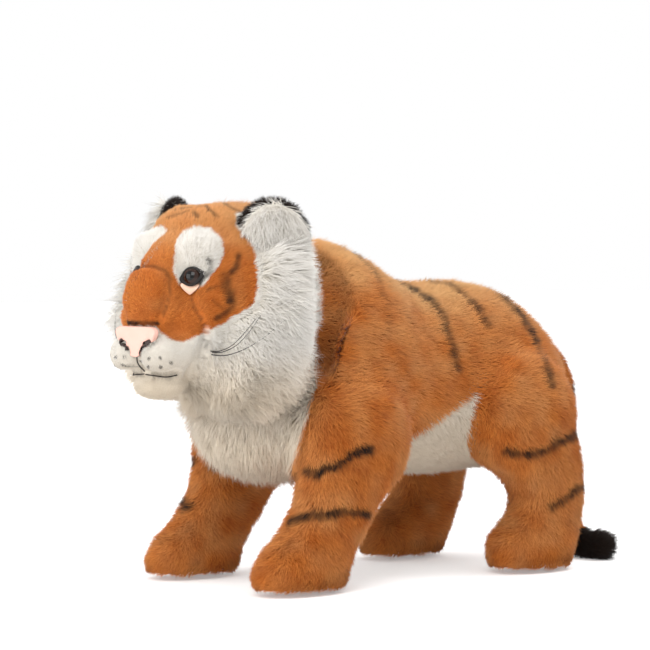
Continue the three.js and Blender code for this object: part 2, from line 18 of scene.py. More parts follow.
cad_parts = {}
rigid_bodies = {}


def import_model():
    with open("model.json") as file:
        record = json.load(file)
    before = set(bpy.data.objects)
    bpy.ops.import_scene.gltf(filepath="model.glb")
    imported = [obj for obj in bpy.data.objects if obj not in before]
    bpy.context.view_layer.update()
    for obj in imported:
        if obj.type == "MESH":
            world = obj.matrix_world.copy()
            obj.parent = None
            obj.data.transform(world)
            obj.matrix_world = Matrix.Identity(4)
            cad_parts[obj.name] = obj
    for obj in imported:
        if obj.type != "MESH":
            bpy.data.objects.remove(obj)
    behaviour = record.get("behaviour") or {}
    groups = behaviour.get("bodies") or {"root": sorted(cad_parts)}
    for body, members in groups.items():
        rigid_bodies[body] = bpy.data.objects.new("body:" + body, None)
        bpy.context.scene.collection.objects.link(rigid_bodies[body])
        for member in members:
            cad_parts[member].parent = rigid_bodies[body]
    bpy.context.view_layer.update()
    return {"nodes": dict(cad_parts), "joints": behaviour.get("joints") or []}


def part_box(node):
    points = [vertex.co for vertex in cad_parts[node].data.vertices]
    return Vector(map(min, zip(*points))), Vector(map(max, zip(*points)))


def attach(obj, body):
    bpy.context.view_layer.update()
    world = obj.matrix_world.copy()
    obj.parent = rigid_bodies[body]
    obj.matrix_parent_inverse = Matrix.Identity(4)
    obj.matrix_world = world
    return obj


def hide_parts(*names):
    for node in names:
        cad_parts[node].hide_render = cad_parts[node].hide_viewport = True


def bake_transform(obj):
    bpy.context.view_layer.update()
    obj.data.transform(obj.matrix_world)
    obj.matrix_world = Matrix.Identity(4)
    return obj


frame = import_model()
log = logging.getLogger("plush_tiger")

Colour = tuple[float, float, float, float]
Array = np.ndarray
Place = tuple[float, float, float]
Edge = tuple[float, float]

JOINTS = {joint["name"]: joint for joint in frame["joints"]}
MM = 0.001
BAKE_UV = "OFBake"
LEGS = ("front_leg_left", "front_leg_right", "hind_leg_left", "hind_leg_right")
SIDES = {"left": 1, "right": -1}
CAMERA_AZIMUTH = math.radians(52)
# Cosine and sine of that angle, rounded as they were when the body's markings were placed
VIEW_ACROSS, VIEW_BACK = 0.616, 0.788
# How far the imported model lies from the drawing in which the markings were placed
DRAWN_TAIL_ROOT = (0, 0.226, 0.192)
SHIFT = np.array(JOINTS["tail_lift"]["pos_m"]) - DRAWN_TAIL_ROOT


# Shader maths


class Flow:
    """A socket of a material's node tree that can be used in Python expressions."""

    def __init__(self, graph: "Graph", socket: bpy.types.NodeSocket) -> None:
        """Wraps an output socket of the graph."""
        self.graph = graph
        self.socket = socket

    def __add__(self, other: "Flow | float") -> "Flow":
        """Sum of two values."""
        return self.graph.maths("ADD", self, other)

    def __mul__(self, other: "Flow | float") -> "Flow":
        """Product of two values."""
        return self.graph.maths("MULTIPLY", self, other)

    __radd__ = __add__
    __rmul__ = __mul__


class Graph:
    """Node tree of a new material or of the world."""

    def __init__(self, owner: bpy.types.Material | bpy.types.World) -> None:
        """Starts with an empty tree.

        Args:
            owner: The material or the world whose tree it is.
        """
        self.owner = owner
        owner.use_nodes = True
        self.nodes = owner.node_tree.nodes
        self.nodes.clear()

    @classmethod
    def of_material(cls, name: str) -> "Graph":
        """Tree of a new material of this name."""
        return cls(bpy.data.materials.new(name))

    def node(self, kind: str, settings: dict | None = None, values: dict | None = None) -> bpy.types.Node:
        """Adds a node.

        Args:
            kind: The node's type.
            settings: Its properties, set first.
            values: Numbers, colours or flows for its input sockets, by name or number.

        Returns:
            The new node.
        """
        made = self.nodes.new(kind)
        for key, value in (settings or {}).items():
            setattr(made, key, value)
        for key, value in (values or {}).items():
            if isinstance(value, Flow):
                self.owner.node_tree.links.new(value.socket, made.inputs[key])
            else:
                made.inputs[key].default_value = value
        return made

    def flow(self, kind: str, output: str | int, settings: dict | None = None,
             values: dict | None = None) -> Flow:
        """Adds a node and gives one of its outputs.

        Args:
            kind: The node's type.
            output: Name or number of the output.
            settings: The node's properties.
            values: Numbers, colours or flows for its input sockets.

        Returns:
            The output as a flow.
        """
        return Flow(self, self.node(kind, settings, values).outputs[output])

    def maths(self, operation: str, *values: "Flow | float") -> Flow:
        """Maths node on one to three values."""
        return self.flow("ShaderNodeMath", 0, {"operation": operation}, dict(enumerate(values)))

    def mix(self, share: "Flow | float", low: "Flow | Colour", high: "Flow | Colour",
            blend: str = "MIX") -> Flow:
        """Colour between two colours."""
        return self.flow("ShaderNodeMix", 2, {"data_type": "RGBA", "blend_type": blend},
                         {0: share, 6: low, 7: high})

    def attribute(self, name: str) -> Flow:
        """Value of one of the mesh's own attributes."""
        return self.flow("ShaderNodeAttribute", "Fac", {"attribute_name": name})

    def noise(self, scale: float, detail: float = 2.0) -> Flow:
        """Noise over the piece's own coordinates, from 0 to 1."""
        place = self.flow("ShaderNodeTexCoord", "Object")
        return self.flow("ShaderNodeTexNoise", "Fac", {},
                         {"Vector": place, "Scale": scale, "Detail": detail})

    def bump(self, height: Flow, strength: float, distance: float) -> Flow:
        """Normal raised by a height."""
        return self.flow("ShaderNodeBump", "Normal", {},
                         {"Height": height, "Strength": strength, "Distance": distance})

    def seen(self) -> Flow:
        """1 where the camera, a reflection or glass looks, and 0 for light on its way."""
        camera, glossy, through = (self.flow("ShaderNodeLightPath", f"Is {kind} Ray")
                                   for kind in ("Camera", "Glossy", "Transmission"))
        return self.maths("MAXIMUM", camera, self.maths("MAXIMUM", glossy, through))

    def finish(self, values: dict) -> bpy.types.Material:
        """Ends the tree in a principled shader with these sockets, and gives the material."""
        shader = self.flow("ShaderNodeBsdfPrincipled", "BSDF", {}, values)
        self.node("ShaderNodeOutputMaterial", {}, {"Surface": shader})
        return self.owner


# Finishes


@dataclass(frozen=True)
class PileFinish:
    """Fur fabric whose markings come from the mesh's own attributes, painted light and painted shade among
    them.
    """

    name: str = "tiger_pile"
    deep: Colour = (0.52, 0.120, 0.016, 1)
    light: Colour = (0.86, 0.300, 0.060, 1)
    # Tan for the fur's own patches, also painted light on the top of the back and the head
    tan: Colour = (0.88, 0.52, 0.22, 1)
    white: Colour = (0.95, 0.93, 0.895, 1)
    # Cream for the white's own slight tint, also painted shade on the white low down
    cream_and_painted_shade: Colour = (0.82, 0.70, 0.55, 1)
    # Black of the stripes, also painted shade in the face's creases, along the mouth and along the top of the
    # nose
    dark: Colour = (0.022, 0.014, 0.010, 1)
    # Roots darker than the tips: partly the plush's own darker roots, partly painted shade standing in for
    # the shade deep in the pile
    root: Colour = (0.60, 0.52, 0.46, 1)
    grey: Colour = (0.90, 0.865, 0.81, 1)
    pale_root_and_shade: Colour = (0.78, 0.75, 0.69, 1)
    roughness: float = 0.75
    specular: float = 0.12
    sheen: float = 0.08
    sheen_roughness: float = 0.5

    def build(self) -> bpy.types.Material:
        """Makes the material.

        Returns:
            The fur's material, which reads tone, tan, pale, cream, dark and along; tan carries painted light
            on the top, cream painted shade low down, dark painted shade in creases, and along painted shade
            at the roots.
        """
        graph = Graph.of_material(self.name)
        tone = graph.attribute("tone")
        colour = graph.mix(tone, self.deep, self.light)
        colour = graph.mix(graph.attribute("tan"), colour, self.tan)
        white = graph.mix(tone, self.grey, self.white)
        white = graph.mix(graph.attribute("cream_and_painted_shade"), white, self.cream_and_painted_shade)
        colour = graph.mix(graph.attribute("pale"), colour, white)
        colour = graph.mix(graph.attribute("dark"), colour, self.dark)
        # Painted shade at the roots, on top of their own darker colour
        root_and_shade_tint = graph.mix(graph.attribute("pale"), self.root, self.pale_root_and_shade)
        root = graph.mix(1, colour, root_and_shade_tint, "MULTIPLY")
        colour = graph.mix(graph.attribute("along"), root, colour)
        return graph.finish({"Base Color": colour, "Roughness": self.roughness,
                             "Specular IOR Level": self.specular, "Sheen Weight": self.sheen,
                             "Sheen Roughness": self.sheen_roughness})


@dataclass(frozen=True)
class EyeFinish:
    """Glossy dark brown button with a black pupil."""

    name: str = "eye_button"
    iris: Colour = (0.024, 0.009, 0.005, 1)
    pupil: Colour = (0.001, 0.001, 0.001, 1)
    roughness: float = 0.06
    specular: float = 0.3

    def build(self) -> bpy.types.Material:
        """Makes the material.

        Returns:
            The button's material, which reads the pupil attribute.
        """
        graph = Graph.of_material(self.name)
        colour = graph.mix(graph.attribute("pupil"), self.iris, self.pupil)
        return graph.finish({"Base Color": colour, "Roughness": self.roughness,
                             "Specular IOR Level": self.specular})


@dataclass(frozen=True)
class LeatherFinish:
    """Matt soft skin with a fine grain, for the nose and the lower lids."""

    name: str
    colour: Colour
    worn: Colour
    roughness: float = 0.6
    # Painted shade for the recessed nostril slits
    painted_nostril_shade: Colour = (0.03, 0.015, 0.012, 1)
    patch_scale: float = 90.0
    grain_scale: float = 1400.0
    grain_strength: float = 0.25
    grain_depth: float = 0.3 * MM

    def build(self) -> bpy.types.Material:
        """Makes the material.

        Returns:
            The skin's material, which reads an attribute that paints shade into the nostrils.
        """
        graph = Graph.of_material(self.name)
        patches = graph.noise(self.patch_scale)
        grain = graph.noise(self.grain_scale, 4.0)
        colour = graph.mix(patches, self.colour, self.worn)
        colour = graph.mix(graph.attribute("painted_nostril_shade"), colour, self.painted_nostril_shade)
        return graph.finish({"Base Color": colour, "Roughness": self.roughness,
                             "Normal": graph.bump(grain, self.grain_strength, self.grain_depth)})


@dataclass(frozen=True)
class PlainFinish:
    """Thread, bristle, moulded plastic or wire with a slight unevenness."""

    name: str
    colour: Colour
    roughness: float
    metallic: float = 0.0
    scale: float = 400.0
    unevenness: float = 0.2
    bump_strength: float = 0.15
    bump_depth: float = 0.2 * MM

    def build(self) -> bpy.types.Material:
        """Makes the material.

        Returns:
            The material, whose roughness varies about its own.
        """
        graph = Graph.of_material(self.name)
        uneven = graph.noise(self.scale)
        roughness = uneven * self.unevenness + (self.roughness - self.unevenness / 2)
        return graph.finish({"Base Color": self.colour, "Metallic": self.metallic, "Roughness": roughness,
                             "Normal": graph.bump(uneven, self.bump_strength, self.bump_depth)})


BRISTLE = PlainFinish("black_bristle", (0.012, 0.010, 0.009, 1), 0.45)
RIM_FELT = PlainFinish("black_felt", (0.010, 0.008, 0.007, 1), 0.85, scale=900.0)
LID_FELT = LeatherFinish("peach_felt", (0.80, 0.50, 0.36, 1), (0.86, 0.60, 0.46, 1), 0.85)
NOSE_LEATHER = LeatherFinish("nose_leather", (0.74, 0.42, 0.34, 1), (0.80, 0.50, 0.42, 1))
THREAD = PlainFinish("dark_thread", (0.02, 0.013, 0.010, 1), 0.8, scale=1200.0)
WIRE = PlainFinish("drawn_wire", (0.55, 0.55, 0.57, 1), 0.35, 1.0)
PLASTIC = PlainFinish("moulded_plastic", (0.70, 0.68, 0.64, 1), 0.45)


# Meshes


def select_only(*pieces: bpy.types.Object) -> None:
    """Leaves only these pieces selected, the first of them active."""
    select_nothing()
    for piece in pieces:
        piece.select_set(True)
    bpy.context.view_layer.objects.active = pieces[0]


def select_nothing() -> None:
    """Deselects everything."""
    for other in bpy.context.scene.objects:
        other.select_set(False)


def apply_modifier(piece: bpy.types.Object, kind: str, settings: dict) -> None:
    """Adds a modifier and applies it.

    Args:
        piece: The piece.
        kind: The modifier's type.
        settings: Its properties.
    """
    modifier = piece.modifiers.new(kind.lower(), kind)
    for key, value in settings.items():
        setattr(modifier, key, value)
    select_only(piece)
    bpy.ops.object.modifier_apply(modifier=modifier.name)


def copy_of(nodes: list[str], name: str) -> bpy.types.Object:
    """One new piece from copies of CAD nodes, with their loose triangles merged.

    Args:
        nodes: The CAD nodes.
        name: The new piece's name.

    Returns:
        The piece, riding on nothing yet.
    """
    copies = []
    for node in nodes:
        copy = bpy.data.objects.new(name, frame["nodes"][node].data.copy())
        bpy.context.scene.collection.objects.link(copy)
        copies.append(copy)
    select_only(*copies)
    if len(copies) > 1:
        bpy.ops.object.join()
    piece = bpy.context.view_layer.objects.active
    piece.name = name
    bpy.ops.object.mode_set(mode="EDIT")
    bpy.ops.mesh.select_all(action="SELECT")
    bpy.ops.mesh.remove_doubles(threshold=1e-6)
    bpy.ops.object.mode_set(mode="OBJECT")
    piece.data.materials.clear()
    return piece


def keep_outside(piece: bpy.types.Object) -> None:
    """Deletes the closed pockets inside a remeshed form.

    Args:
        piece: The form, of which the part with the most points stays.
    """
    mesh = piece.data
    edges = np.empty(len(mesh.edges) * 2, int)
    mesh.edges.foreach_get("vertices", edges)
    first, second = edges.reshape(-1, 2).T
    group = np.arange(len(mesh.vertices))
    while True:
        lowest = np.minimum(group[first], group[second])
        joined = group.copy()
        np.minimum.at(joined, first, lowest)
        np.minimum.at(joined, second, lowest)
        joined = joined[joined]
        if (joined == group).all():
            break
        group = joined
    largest = np.bincount(group).argmax()
    select_only(piece)
    bpy.ops.object.mode_set(mode="EDIT")
    bpy.ops.mesh.select_mode(type="VERT")
    bpy.ops.mesh.select_all(action="DESELECT")
    bpy.ops.object.mode_set(mode="OBJECT")
    mesh.vertices.foreach_set("select", group != largest)
    bpy.ops.object.mode_set(mode="EDIT")
    bpy.ops.mesh.delete(type="VERT")
    bpy.ops.object.mode_set(mode="OBJECT")


def stuffed_form(nodes: list[str], name: str, voxel: float, inset: float, rounds: int,
                 swell: float = 2.2 * MM) -> bpy.types.Object:
    """Smooth stuffed form round CAD nodes, grown together where they meet.

    Args:
        nodes: The CAD nodes.
        name: The new piece's name.
        voxel: Size of the remesh.
        inset: How far inside the nodes' surface the form lies.
        rounds: Rounds of smoothing.
        swell: How far the nodes are grown before they are joined.

    Returns:
        The form.
    """
    piece = copy_of(nodes, name)
    apply_modifier(piece, "DISPLACE", {"strength": swell, "mid_level": 0.0})
    apply_modifier(piece, "REMESH", {"mode": "VOXEL", "voxel_size": voxel, "use_smooth_shade": True})
    keep_outside(piece)
    apply_modifier(piece, "SMOOTH", {"factor": 0.5, "iterations": rounds})
    apply_modifier(piece, "DISPLACE", {"strength": -swell - inset, "mid_level": 0.0})
    return piece


def fill_hollows(piece: bpy.types.Object, rounds: int, shrink: float = 0.3) -> None:
    """Smooths a form so that its hollows fill and its rounds hardly shrink.

    Args:
        piece: The form.
        rounds: Rounds of smoothing.
        shrink: Share of the smoothing that the rounds take.
    """
    before = Surface.of(piece)
    apply_modifier(piece, "SMOOTH", {"factor": 0.5, "iterations": rounds})
    move = Surface.of(piece).points - before.points
    outward = (move * before.normals).sum(axis=1, keepdims=True)
    place = before.points + move * np.where(outward > 0, 1.0, shrink)
    piece.data.vertices.foreach_set("co", place.astype(np.float32).ravel())
    piece.data.update()


def even_out(values: Array, piece: bpy.types.Object, rounds: int) -> Array:
    """Averages values at the points of a mesh with those at the points beside them.

    Args:
        values: One row for each point.
        piece: The piece whose mesh it is.
        rounds: Rounds of averaging.

    Returns:
        The evened rows.
    """
    edges = np.empty(len(piece.data.edges) * 2, int)
    piece.data.edges.foreach_get("vertices", edges)
    first, second = edges.reshape(-1, 2).T
    beside = np.bincount(edges, minlength=len(values)).clip(1)[:, None]
    for _ in range(rounds):
        total = np.zeros_like(values)
        np.add.at(total, first, values[second])
        np.add.at(total, second, values[first])
        values = (values + total / beside) / 2
    return values


# Share of the depth by which the middles of triangles stay below a cover
MIDDLE_DEPTH = 0.7


def tuck_under(piece: bpy.types.Object, cover: BVHTree, depth: float) -> None:
    """Draws a piece in wherever it comes nearer than depth to the inside of a cover.

    The middles of its triangles are pressed in too, so that none bridges a crease of the cover.

    Args:
        piece: The piece.
        cover: Search tree of the cover.
        depth: Least distance below the cover.
    """
    surface = Surface.of(piece)
    place, corners = surface.points, surface.triangles
    for _ in range(4):
        for index, point in enumerate(place):
            near, normal, _, _ = cover.find_nearest(Vector(point))
            if (Vector(point) - near).dot(normal) > -depth:
                place[index] = near - normal * depth
        middles = place[corners].mean(axis=1)
        moves, times = np.zeros_like(place), np.zeros((len(place), 1))
        for triangle, middle in zip(corners, middles):
            near, normal, _, _ = cover.find_nearest(Vector(middle))
            rise = (Vector(middle) - near).dot(normal) + depth * MIDDLE_DEPTH
            if rise > 0:
                moves[triangle] -= np.array(normal) * rise
                times[triangle] += 1
        place += moves / times.clip(1)
    piece.data.vertices.foreach_set("co", place.astype(np.float32).ravel())
    piece.data.update()


def reach_up_to(piece: bpy.types.Object, tree: BVHTree, gap: float, most: float) -> None:
    """Swells a form towards a surface beside it, so that the room between them nearly closes.

    Args:
        piece: The form.
        tree: Search tree of the surface beside it.
        gap: Room that stays open.
        most: The most that any place moves.
    """
    place = Surface.of(piece).points
    moves = np.zeros_like(place)
    for index, point in enumerate(place):
        near, normal, _, distance = tree.find_nearest(Vector(point))
        away = near - Vector(point)
        if distance < 3 * most and away.dot(normal) < 0:
            fade = min(1.0, (3 * most - distance) / most)
            moves[index] = np.array(away.normalized()) * min(max(distance - gap, 0.0), most) * fade
    place += even_out(moves, piece, rounds=16)
    piece.data.vertices.foreach_set("co", place.astype(np.float32).ravel())
    piece.data.update()


def soft_noise(points: Array, size: float, seed: int) -> Array:
    """Smooth random field over points, from -1 to 1.

    Args:
        points: Points in rows.
        size: Distance over which the field changes.
        seed: Picks the field.

    Returns:
        One value for each point.
    """
    cells = 24
    lattice = np.random.default_rng(seed).uniform(-1, 1, (cells, cells, cells))
    scaled = points / size
    low = np.floor(scaled).astype(int)
    part = scaled - low
    part = part * part * (3 - 2 * part)
    total = np.zeros(len(points))
    for corner in range(8):
        step = np.array([(corner >> axis) & 1 for axis in range(3)])
        weight = np.prod(np.where(step, part, 1 - part), axis=1)
        at = (low + step) % cells
        total += weight * lattice[at[:, 0], at[:, 1], at[:, 2]]
    return total


@dataclass(frozen=True)
class Waver:
    """Soft random field: the distance over which it changes, its seed and its strength."""

    size: float
    seed: int
    strength: float = 1.0

    def at(self, points: Array) -> Array:
        """Its value at points in rows."""
        return soft_noise(points, self.size, self.seed) * self.strength


def unit(vectors: Array) -> Array:
    """Vectors in rows, each at length 1."""
    return vectors / np.maximum(np.linalg.norm(vectors, axis=1, keepdims=True), 1e-12)


def ease(values: Array, low: float, high: float) -> Array:
    """Soft step from 0 at low to 1 at high, which may also fall."""
    part = np.clip((values - low) / (high - low), 0, 1)
    return part * part * (3 - 2 * part)


def near_line(points: Array, line: Array | tuple) -> Array:
    """Distance of points from a line of straight pieces.

    Args:
        points: Points in rows, flat or in space.
        line: The line's corners in rows.

    Returns:
        One distance for each point.
    """
    line = np.array(line, float)
    best = np.full(len(points), 1e9)
    for start, end in zip(line[:-1], line[1:]):
        along = end - start
        share = np.clip((points - start) @ along / max(along @ along, 1e-12), 0, 1)
        best = np.minimum(best, np.linalg.norm(points - start - share[:, None] * along, axis=1))
    return best


def inside_outline(points: Array, outline: Array | tuple) -> Array:
    """How deep flat points lie inside a closed outline.

    Args:
        points: Points in rows.
        outline: The outline's corners in rows.

    Returns:
        Distance to the outline, negative outside it.
    """
    outline = np.array(outline, float)
    closed = np.vstack([outline, outline[:1]])
    inside = np.zeros(len(points), bool)
    for (x0, y0), (x1, y1) in zip(closed[:-1], closed[1:]):
        spans = (y0 > points[:, 1]) != (y1 > points[:, 1])
        cross = (x1 - x0) * (points[:, 1] - y0) / (y1 - y0 if y1 != y0 else 1e-9) + x0
        inside ^= spans & (points[:, 0] < cross)
    distance = near_line(points, closed)
    return np.where(inside, distance, -distance)


@dataclass
class Surface:
    """Points, normals and triangles of a piece, on which pile is planted."""

    points: Array
    normals: Array
    triangles: Array

    @classmethod
    def of(cls, piece: bpy.types.Object) -> "Surface":
        """Reads a piece's mesh.

        Args:
            piece: The piece.

        Returns:
            Its surface.
        """
        mesh = piece.data
        mesh.calc_loop_triangles()
        points = np.empty(len(mesh.vertices) * 3)
        mesh.vertices.foreach_get("co", points)
        normals = np.empty(len(mesh.vertices) * 3)
        mesh.vertices.foreach_get("normal", normals)
        triangles = np.empty(len(mesh.loop_triangles) * 3, int)
        mesh.loop_triangles.foreach_get("vertices", triangles)
        return cls(points.reshape(-1, 3), normals.reshape(-1, 3), triangles.reshape(-1, 3))

    def scatter(self, density: float, seed: int) -> tuple[Array, Array]:
        """Spreads roots evenly over the surface.

        Args:
            density: Roots to the square millimetre.
            seed: Picks the places.

        Returns:
            The roots and the normals there.
        """
        rng = np.random.default_rng(seed)
        a, b, c = (self.points[self.triangles[:, corner]] for corner in range(3))
        areas = np.linalg.norm(np.cross(b - a, c - a), axis=1) / 2
        count = int(areas.sum() * density * 1e6)
        steps = (np.arange(count) + rng.random(count)) / count
        picked = np.searchsorted(np.cumsum(areas) / areas.sum(), steps).clip(0, len(areas) - 1)
        u, v = rng.random(count), rng.random(count)
        over = u + v > 1
        u[over], v[over] = 1 - u[over], 1 - v[over]
        weights = np.stack([1 - u - v, u, v], axis=1)
        corners = self.triangles[picked]
        roots = (self.points[corners] * weights[:, :, None]).sum(axis=1)
        normals = unit((self.normals[corners] * weights[:, :, None]).sum(axis=1))
        return roots, normals

    def tree(self) -> BVHTree:
        """Search tree of the surface."""
        return BVHTree.FromPolygons(self.points.tolist(), self.triangles.tolist())


def distance_to(roots: Array, tree: BVHTree) -> Array:
    """Distance of points to a surface.

    Args:
        roots: Points in rows.
        tree: Search tree of the surface.

    Returns:
        One distance for each point, negative inside.
    """
    reach = np.empty(len(roots))
    for index, root in enumerate(roots):
        near, normal, _, distance = tree.find_nearest(Vector(root))
        reach[index] = distance if (Vector(root) - near).dot(normal) > 0 else -distance
    return reach


def flatten_to_view(points: Array, depth: float = 0.35) -> Array:
    """Points with their depth seen from the photograph's side reduced to a share."""
    towards = np.array([VIEW_BACK, -VIEW_ACROSS, 0.0])
    return points - (1 - depth) * np.outer(points @ towards, towards)


# Markings


@dataclass
class Marks:
    """What a lock of pile looks like: shares of each colour, one value for each root."""

    # The dark share holds stripes and painted shade, the cream share painted shade low down, and the tan
    # share painted light on the top
    dark: Array
    pale: Array
    cream_and_painted_shade: Array
    tan: Array

    @classmethod
    def plain(cls, count: int, dark: float = 0, pale: float = 0) -> "Marks":
        """The same look for every root."""
        return cls(np.full(count, float(dark)), np.full(count, float(pale)), np.zeros(count), np.zeros(count))


Look = Callable[[Array], Marks]


def black_marks(points: Array) -> Marks:
    """Black pile."""
    return Marks.plain(len(points), dark=1)


@dataclass(frozen=True)
class Stripe:
    """Dark stripe along a line near the surface, in millimetres."""

    line: tuple[Place, ...]
    width: float
    strength: float = 1.0


STRIPES = (
    Stripe(((0, -24, 292), (25, -22, 284), (52, -21, 266), (62, -24, 250), (68, -22, 236),
            (73, -25, 218)), 2.4, 0.75),
    Stripe(((0, 36, 262), (14, 37, 259), (31, 41, 253), (39, 47, 246), (47, 52, 239), (54, 56, 229),
            (60, 55, 220), (64, 55, 209), (68, 57, 196), (70, 60, 185)), 2.8, 0.95),
    Stripe(((0, 86, 258), (17, 92, 257), (30, 95, 252), (44, 98, 243), (51, 102, 234),
            (59, 105, 222)), 2.2, 0.8),
    Stripe(((12, 142, 248), (34, 146, 243), (51, 151, 233), (60, 155, 220), (68, 158, 206),
            (88, 150, 194), (100, 144, 181), (105, 143, 168)), 3.4, 0.95),
    Stripe(((100, 93, 111), (104, 103, 109), (107, 115, 108), (109, 129, 110), (109, 145, 116),
            (108, 158, 120), (100, 178, 123), (80, 190, 124)), 3.4, 0.95),
    Stripe(((106, 144, 60), (107, 156, 65), (108, 167, 71), (100, 190, 77), (80, 198, 78)), 3.6, 0.9),
    Stripe(((85, -122, 104), (91, -118, 101), (97, -114, 107), (102, -105, 108), (106, -99, 113),
            (107, -91, 118), (109, -72, 122)), 3.6, 1.0),
    Stripe(((80, -137, 62), (87, -132, 66), (95, -125, 69), (102, -116, 68), (106, -100, 70),
            (108, -85, 69), (105, -70, 66)), 3.4, 1.0),
    Stripe(((40, -70, 296), (60, -76, 281), (72, -78, 262)), 2.0, 0.6),
    Stripe(((50, -126, 128), (56, -122, 113), (59, -118, 98)), 3.0, 0.9),
)


@dataclass(frozen=True)
class BodyMarks:
    """Where the body's colours lie, in millimetres; a pair says where a soft edge starts and ends."""

    moved: Place = (0, 7.2, 0)
    raised: float = 1.02
    ragged: tuple[Waver, Waver] = (Waver(2.5 * MM, 3, 1.5), Waver(9 * MM, 4, 1.2))
    bib_soft: Edge = (-2, 2)
    belly_soft: Edge = (-1.5, 1.5)
    least_shade: float = 0.86
    shade: Waver = Waver(7 * MM, 9, 0.3)
    bib_edge: tuple[Edge, ...] = ((60, -64), (92, -61), (119, -53), (141, -46), (162, -41), (181, -36),
                                  (230, -34))
    bib_foot: Edge = (86, 94)
    bib_head: Edge = (212, 200)
    belly: tuple[Edge, ...] = ((-17, 40), (160, 40), (152, 120), (134, 150), (113, 180), (100, 176),
                               (67, 154), (23, 130), (-17, 116))
    belly_side: Edge = (88, 80)
    # Painted shade: the white turns creamier lower down, where it is in shade; the least share is its own
    # cream
    cream_height: Edge = (200, 110)
    least_cream: float = 0.38
    painted_shade_cream: float = 0.55
    stripe_soft: Edge = (3.0, 1.8)
    # Painted light: the top of the back and the ridge turn paler tan, as if lit from above
    back_height: Edge = (195, 262)
    back_side: Edge = (95, 45)
    back_start: Edge = (-60, 0)
    ridge_height: Edge = (240, 285)
    least_tan: float = 0.15
    painted_back_light: float = 0.55
    patches: Waver = Waver(16 * MM, 5, 0.22)

    def body(self, points: Array) -> Marks:
        """Markings of the body and legs.

        Args:
            points: Points in metres.

        Returns:
            The look of each.
        """
        mm = (points - SHIFT) / MM + self.moved
        mm[:, 2] /= self.raised
        side, back, up = np.abs(mm[:, 0]), mm[:, 1], mm[:, 2]
        ragged = sum(waver.at(points) for waver in self.ragged)
        marks = Marks.plain(len(points))
        seen = flatten_to_view(np.stack([side, back, up], axis=1))
        for stripe in STRIPES:
            distance = near_line(seen, flatten_to_view(np.array(stripe.line, float)))
            shade = ease(distance + ragged, stripe.width + self.stripe_soft[0],
                         stripe.width - self.stripe_soft[1])
            marks.dark = np.maximum(marks.dark, shade * stripe.strength)
        across = side * VIEW_ACROSS + back * VIEW_BACK
        edge = np.interp(up, *np.array(self.bib_edge, float).T)
        bib = ease(edge - across + ragged, *self.bib_soft) * ease(up + ragged, *self.bib_foot)
        bib *= ease(up + ragged, *self.bib_head)
        belly = ease(inside_outline(mm[:, 1:], self.belly) + ragged, *self.belly_soft)
        marks.pale = np.maximum(bib, belly * ease(side, *self.belly_side))
        marks.cream_and_painted_shade = self.least_cream + self.painted_shade_cream * ease(up, *self.cream_height)
        marks.dark *= (1 - marks.pale) * (self.least_shade + self.shade.at(points))
        marks.dark = np.clip(marks.dark, 0, 1)
        # Painted light on the top of the back, over the fur's own tan patches
        top = ease(up, *self.back_height) * ease(side, *self.back_side) * ease(back, *self.back_start)
        top = np.maximum(top, ease(up, *self.ridge_height))
        marks.tan = np.clip(self.least_tan + top * self.painted_back_light + self.patches.at(points), 0, 1)
        return marks

    def leg(self, points: Array) -> Marks:
        """Markings of a leg, without the belly's and the chest's white.

        Args:
            points: Points in metres.

        Returns:
            The look of each.
        """
        marks = self.body(points)
        marks.dark = np.clip(marks.dark / np.maximum(1 - marks.pale, 0.2), 0, 1)
        marks.pale[:] = 0
        return marks


BODY_MARKS = BodyMarks()


# Pile


@dataclass(frozen=True)
class Lay:
    """How one kind of pile grows: lengths in metres, angles in degrees."""

    length: float
    width: float
    rise: float
    stray: float = 0.28
    steps: int = 1
    droop: float = 0.0
    tuft: float = 0.39
    rise_stray: float = 9
    rise_waves: float = 12
    shortest: float = 0.75
    longest: float = 1.12
    length_waves: float = 0.18
    curl: float = 0.5
    taper: float = 0.6
    rounding: float = 0.35
    tuft_size: float = 7 * MM
    wave_size: float = 6 * MM
    length_size: float = 5 * MM
    tip_lean: float = 0.2


class Coat(Enum):
    """Kinds of pile on the toy."""

    BODY = Lay(11.0 * MM, 0.85 * MM, 36)
    LEG = Lay(9.5 * MM, 0.85 * MM, 36)
    FACE = Lay(5.0 * MM, 0.60 * MM, 30, stray=0.22)
    MUZZLE = Lay(3.8 * MM, 0.50 * MM, 34, stray=0.22)
    RUFF = Lay(25.0 * MM, 0.70 * MM, 32, stray=0.24, steps=2, droop=0.25, tuft=0.494)
    BIB = Lay(22.0 * MM, 0.75 * MM, 32, stray=0.24, steps=2, droop=0.35, tuft=0.494)
    EAR = Lay(5.5 * MM, 0.60 * MM, 44)
    LINING = Lay(18.0 * MM, 0.60 * MM, 32, stray=0.30, steps=2, droop=0.15, tuft=0.715)
    TAIL = Lay(8.0 * MM, 0.75 * MM, 34)
    TAIL_TIP = Lay(14.0 * MM, 0.80 * MM, 30, stray=0.2, steps=2)


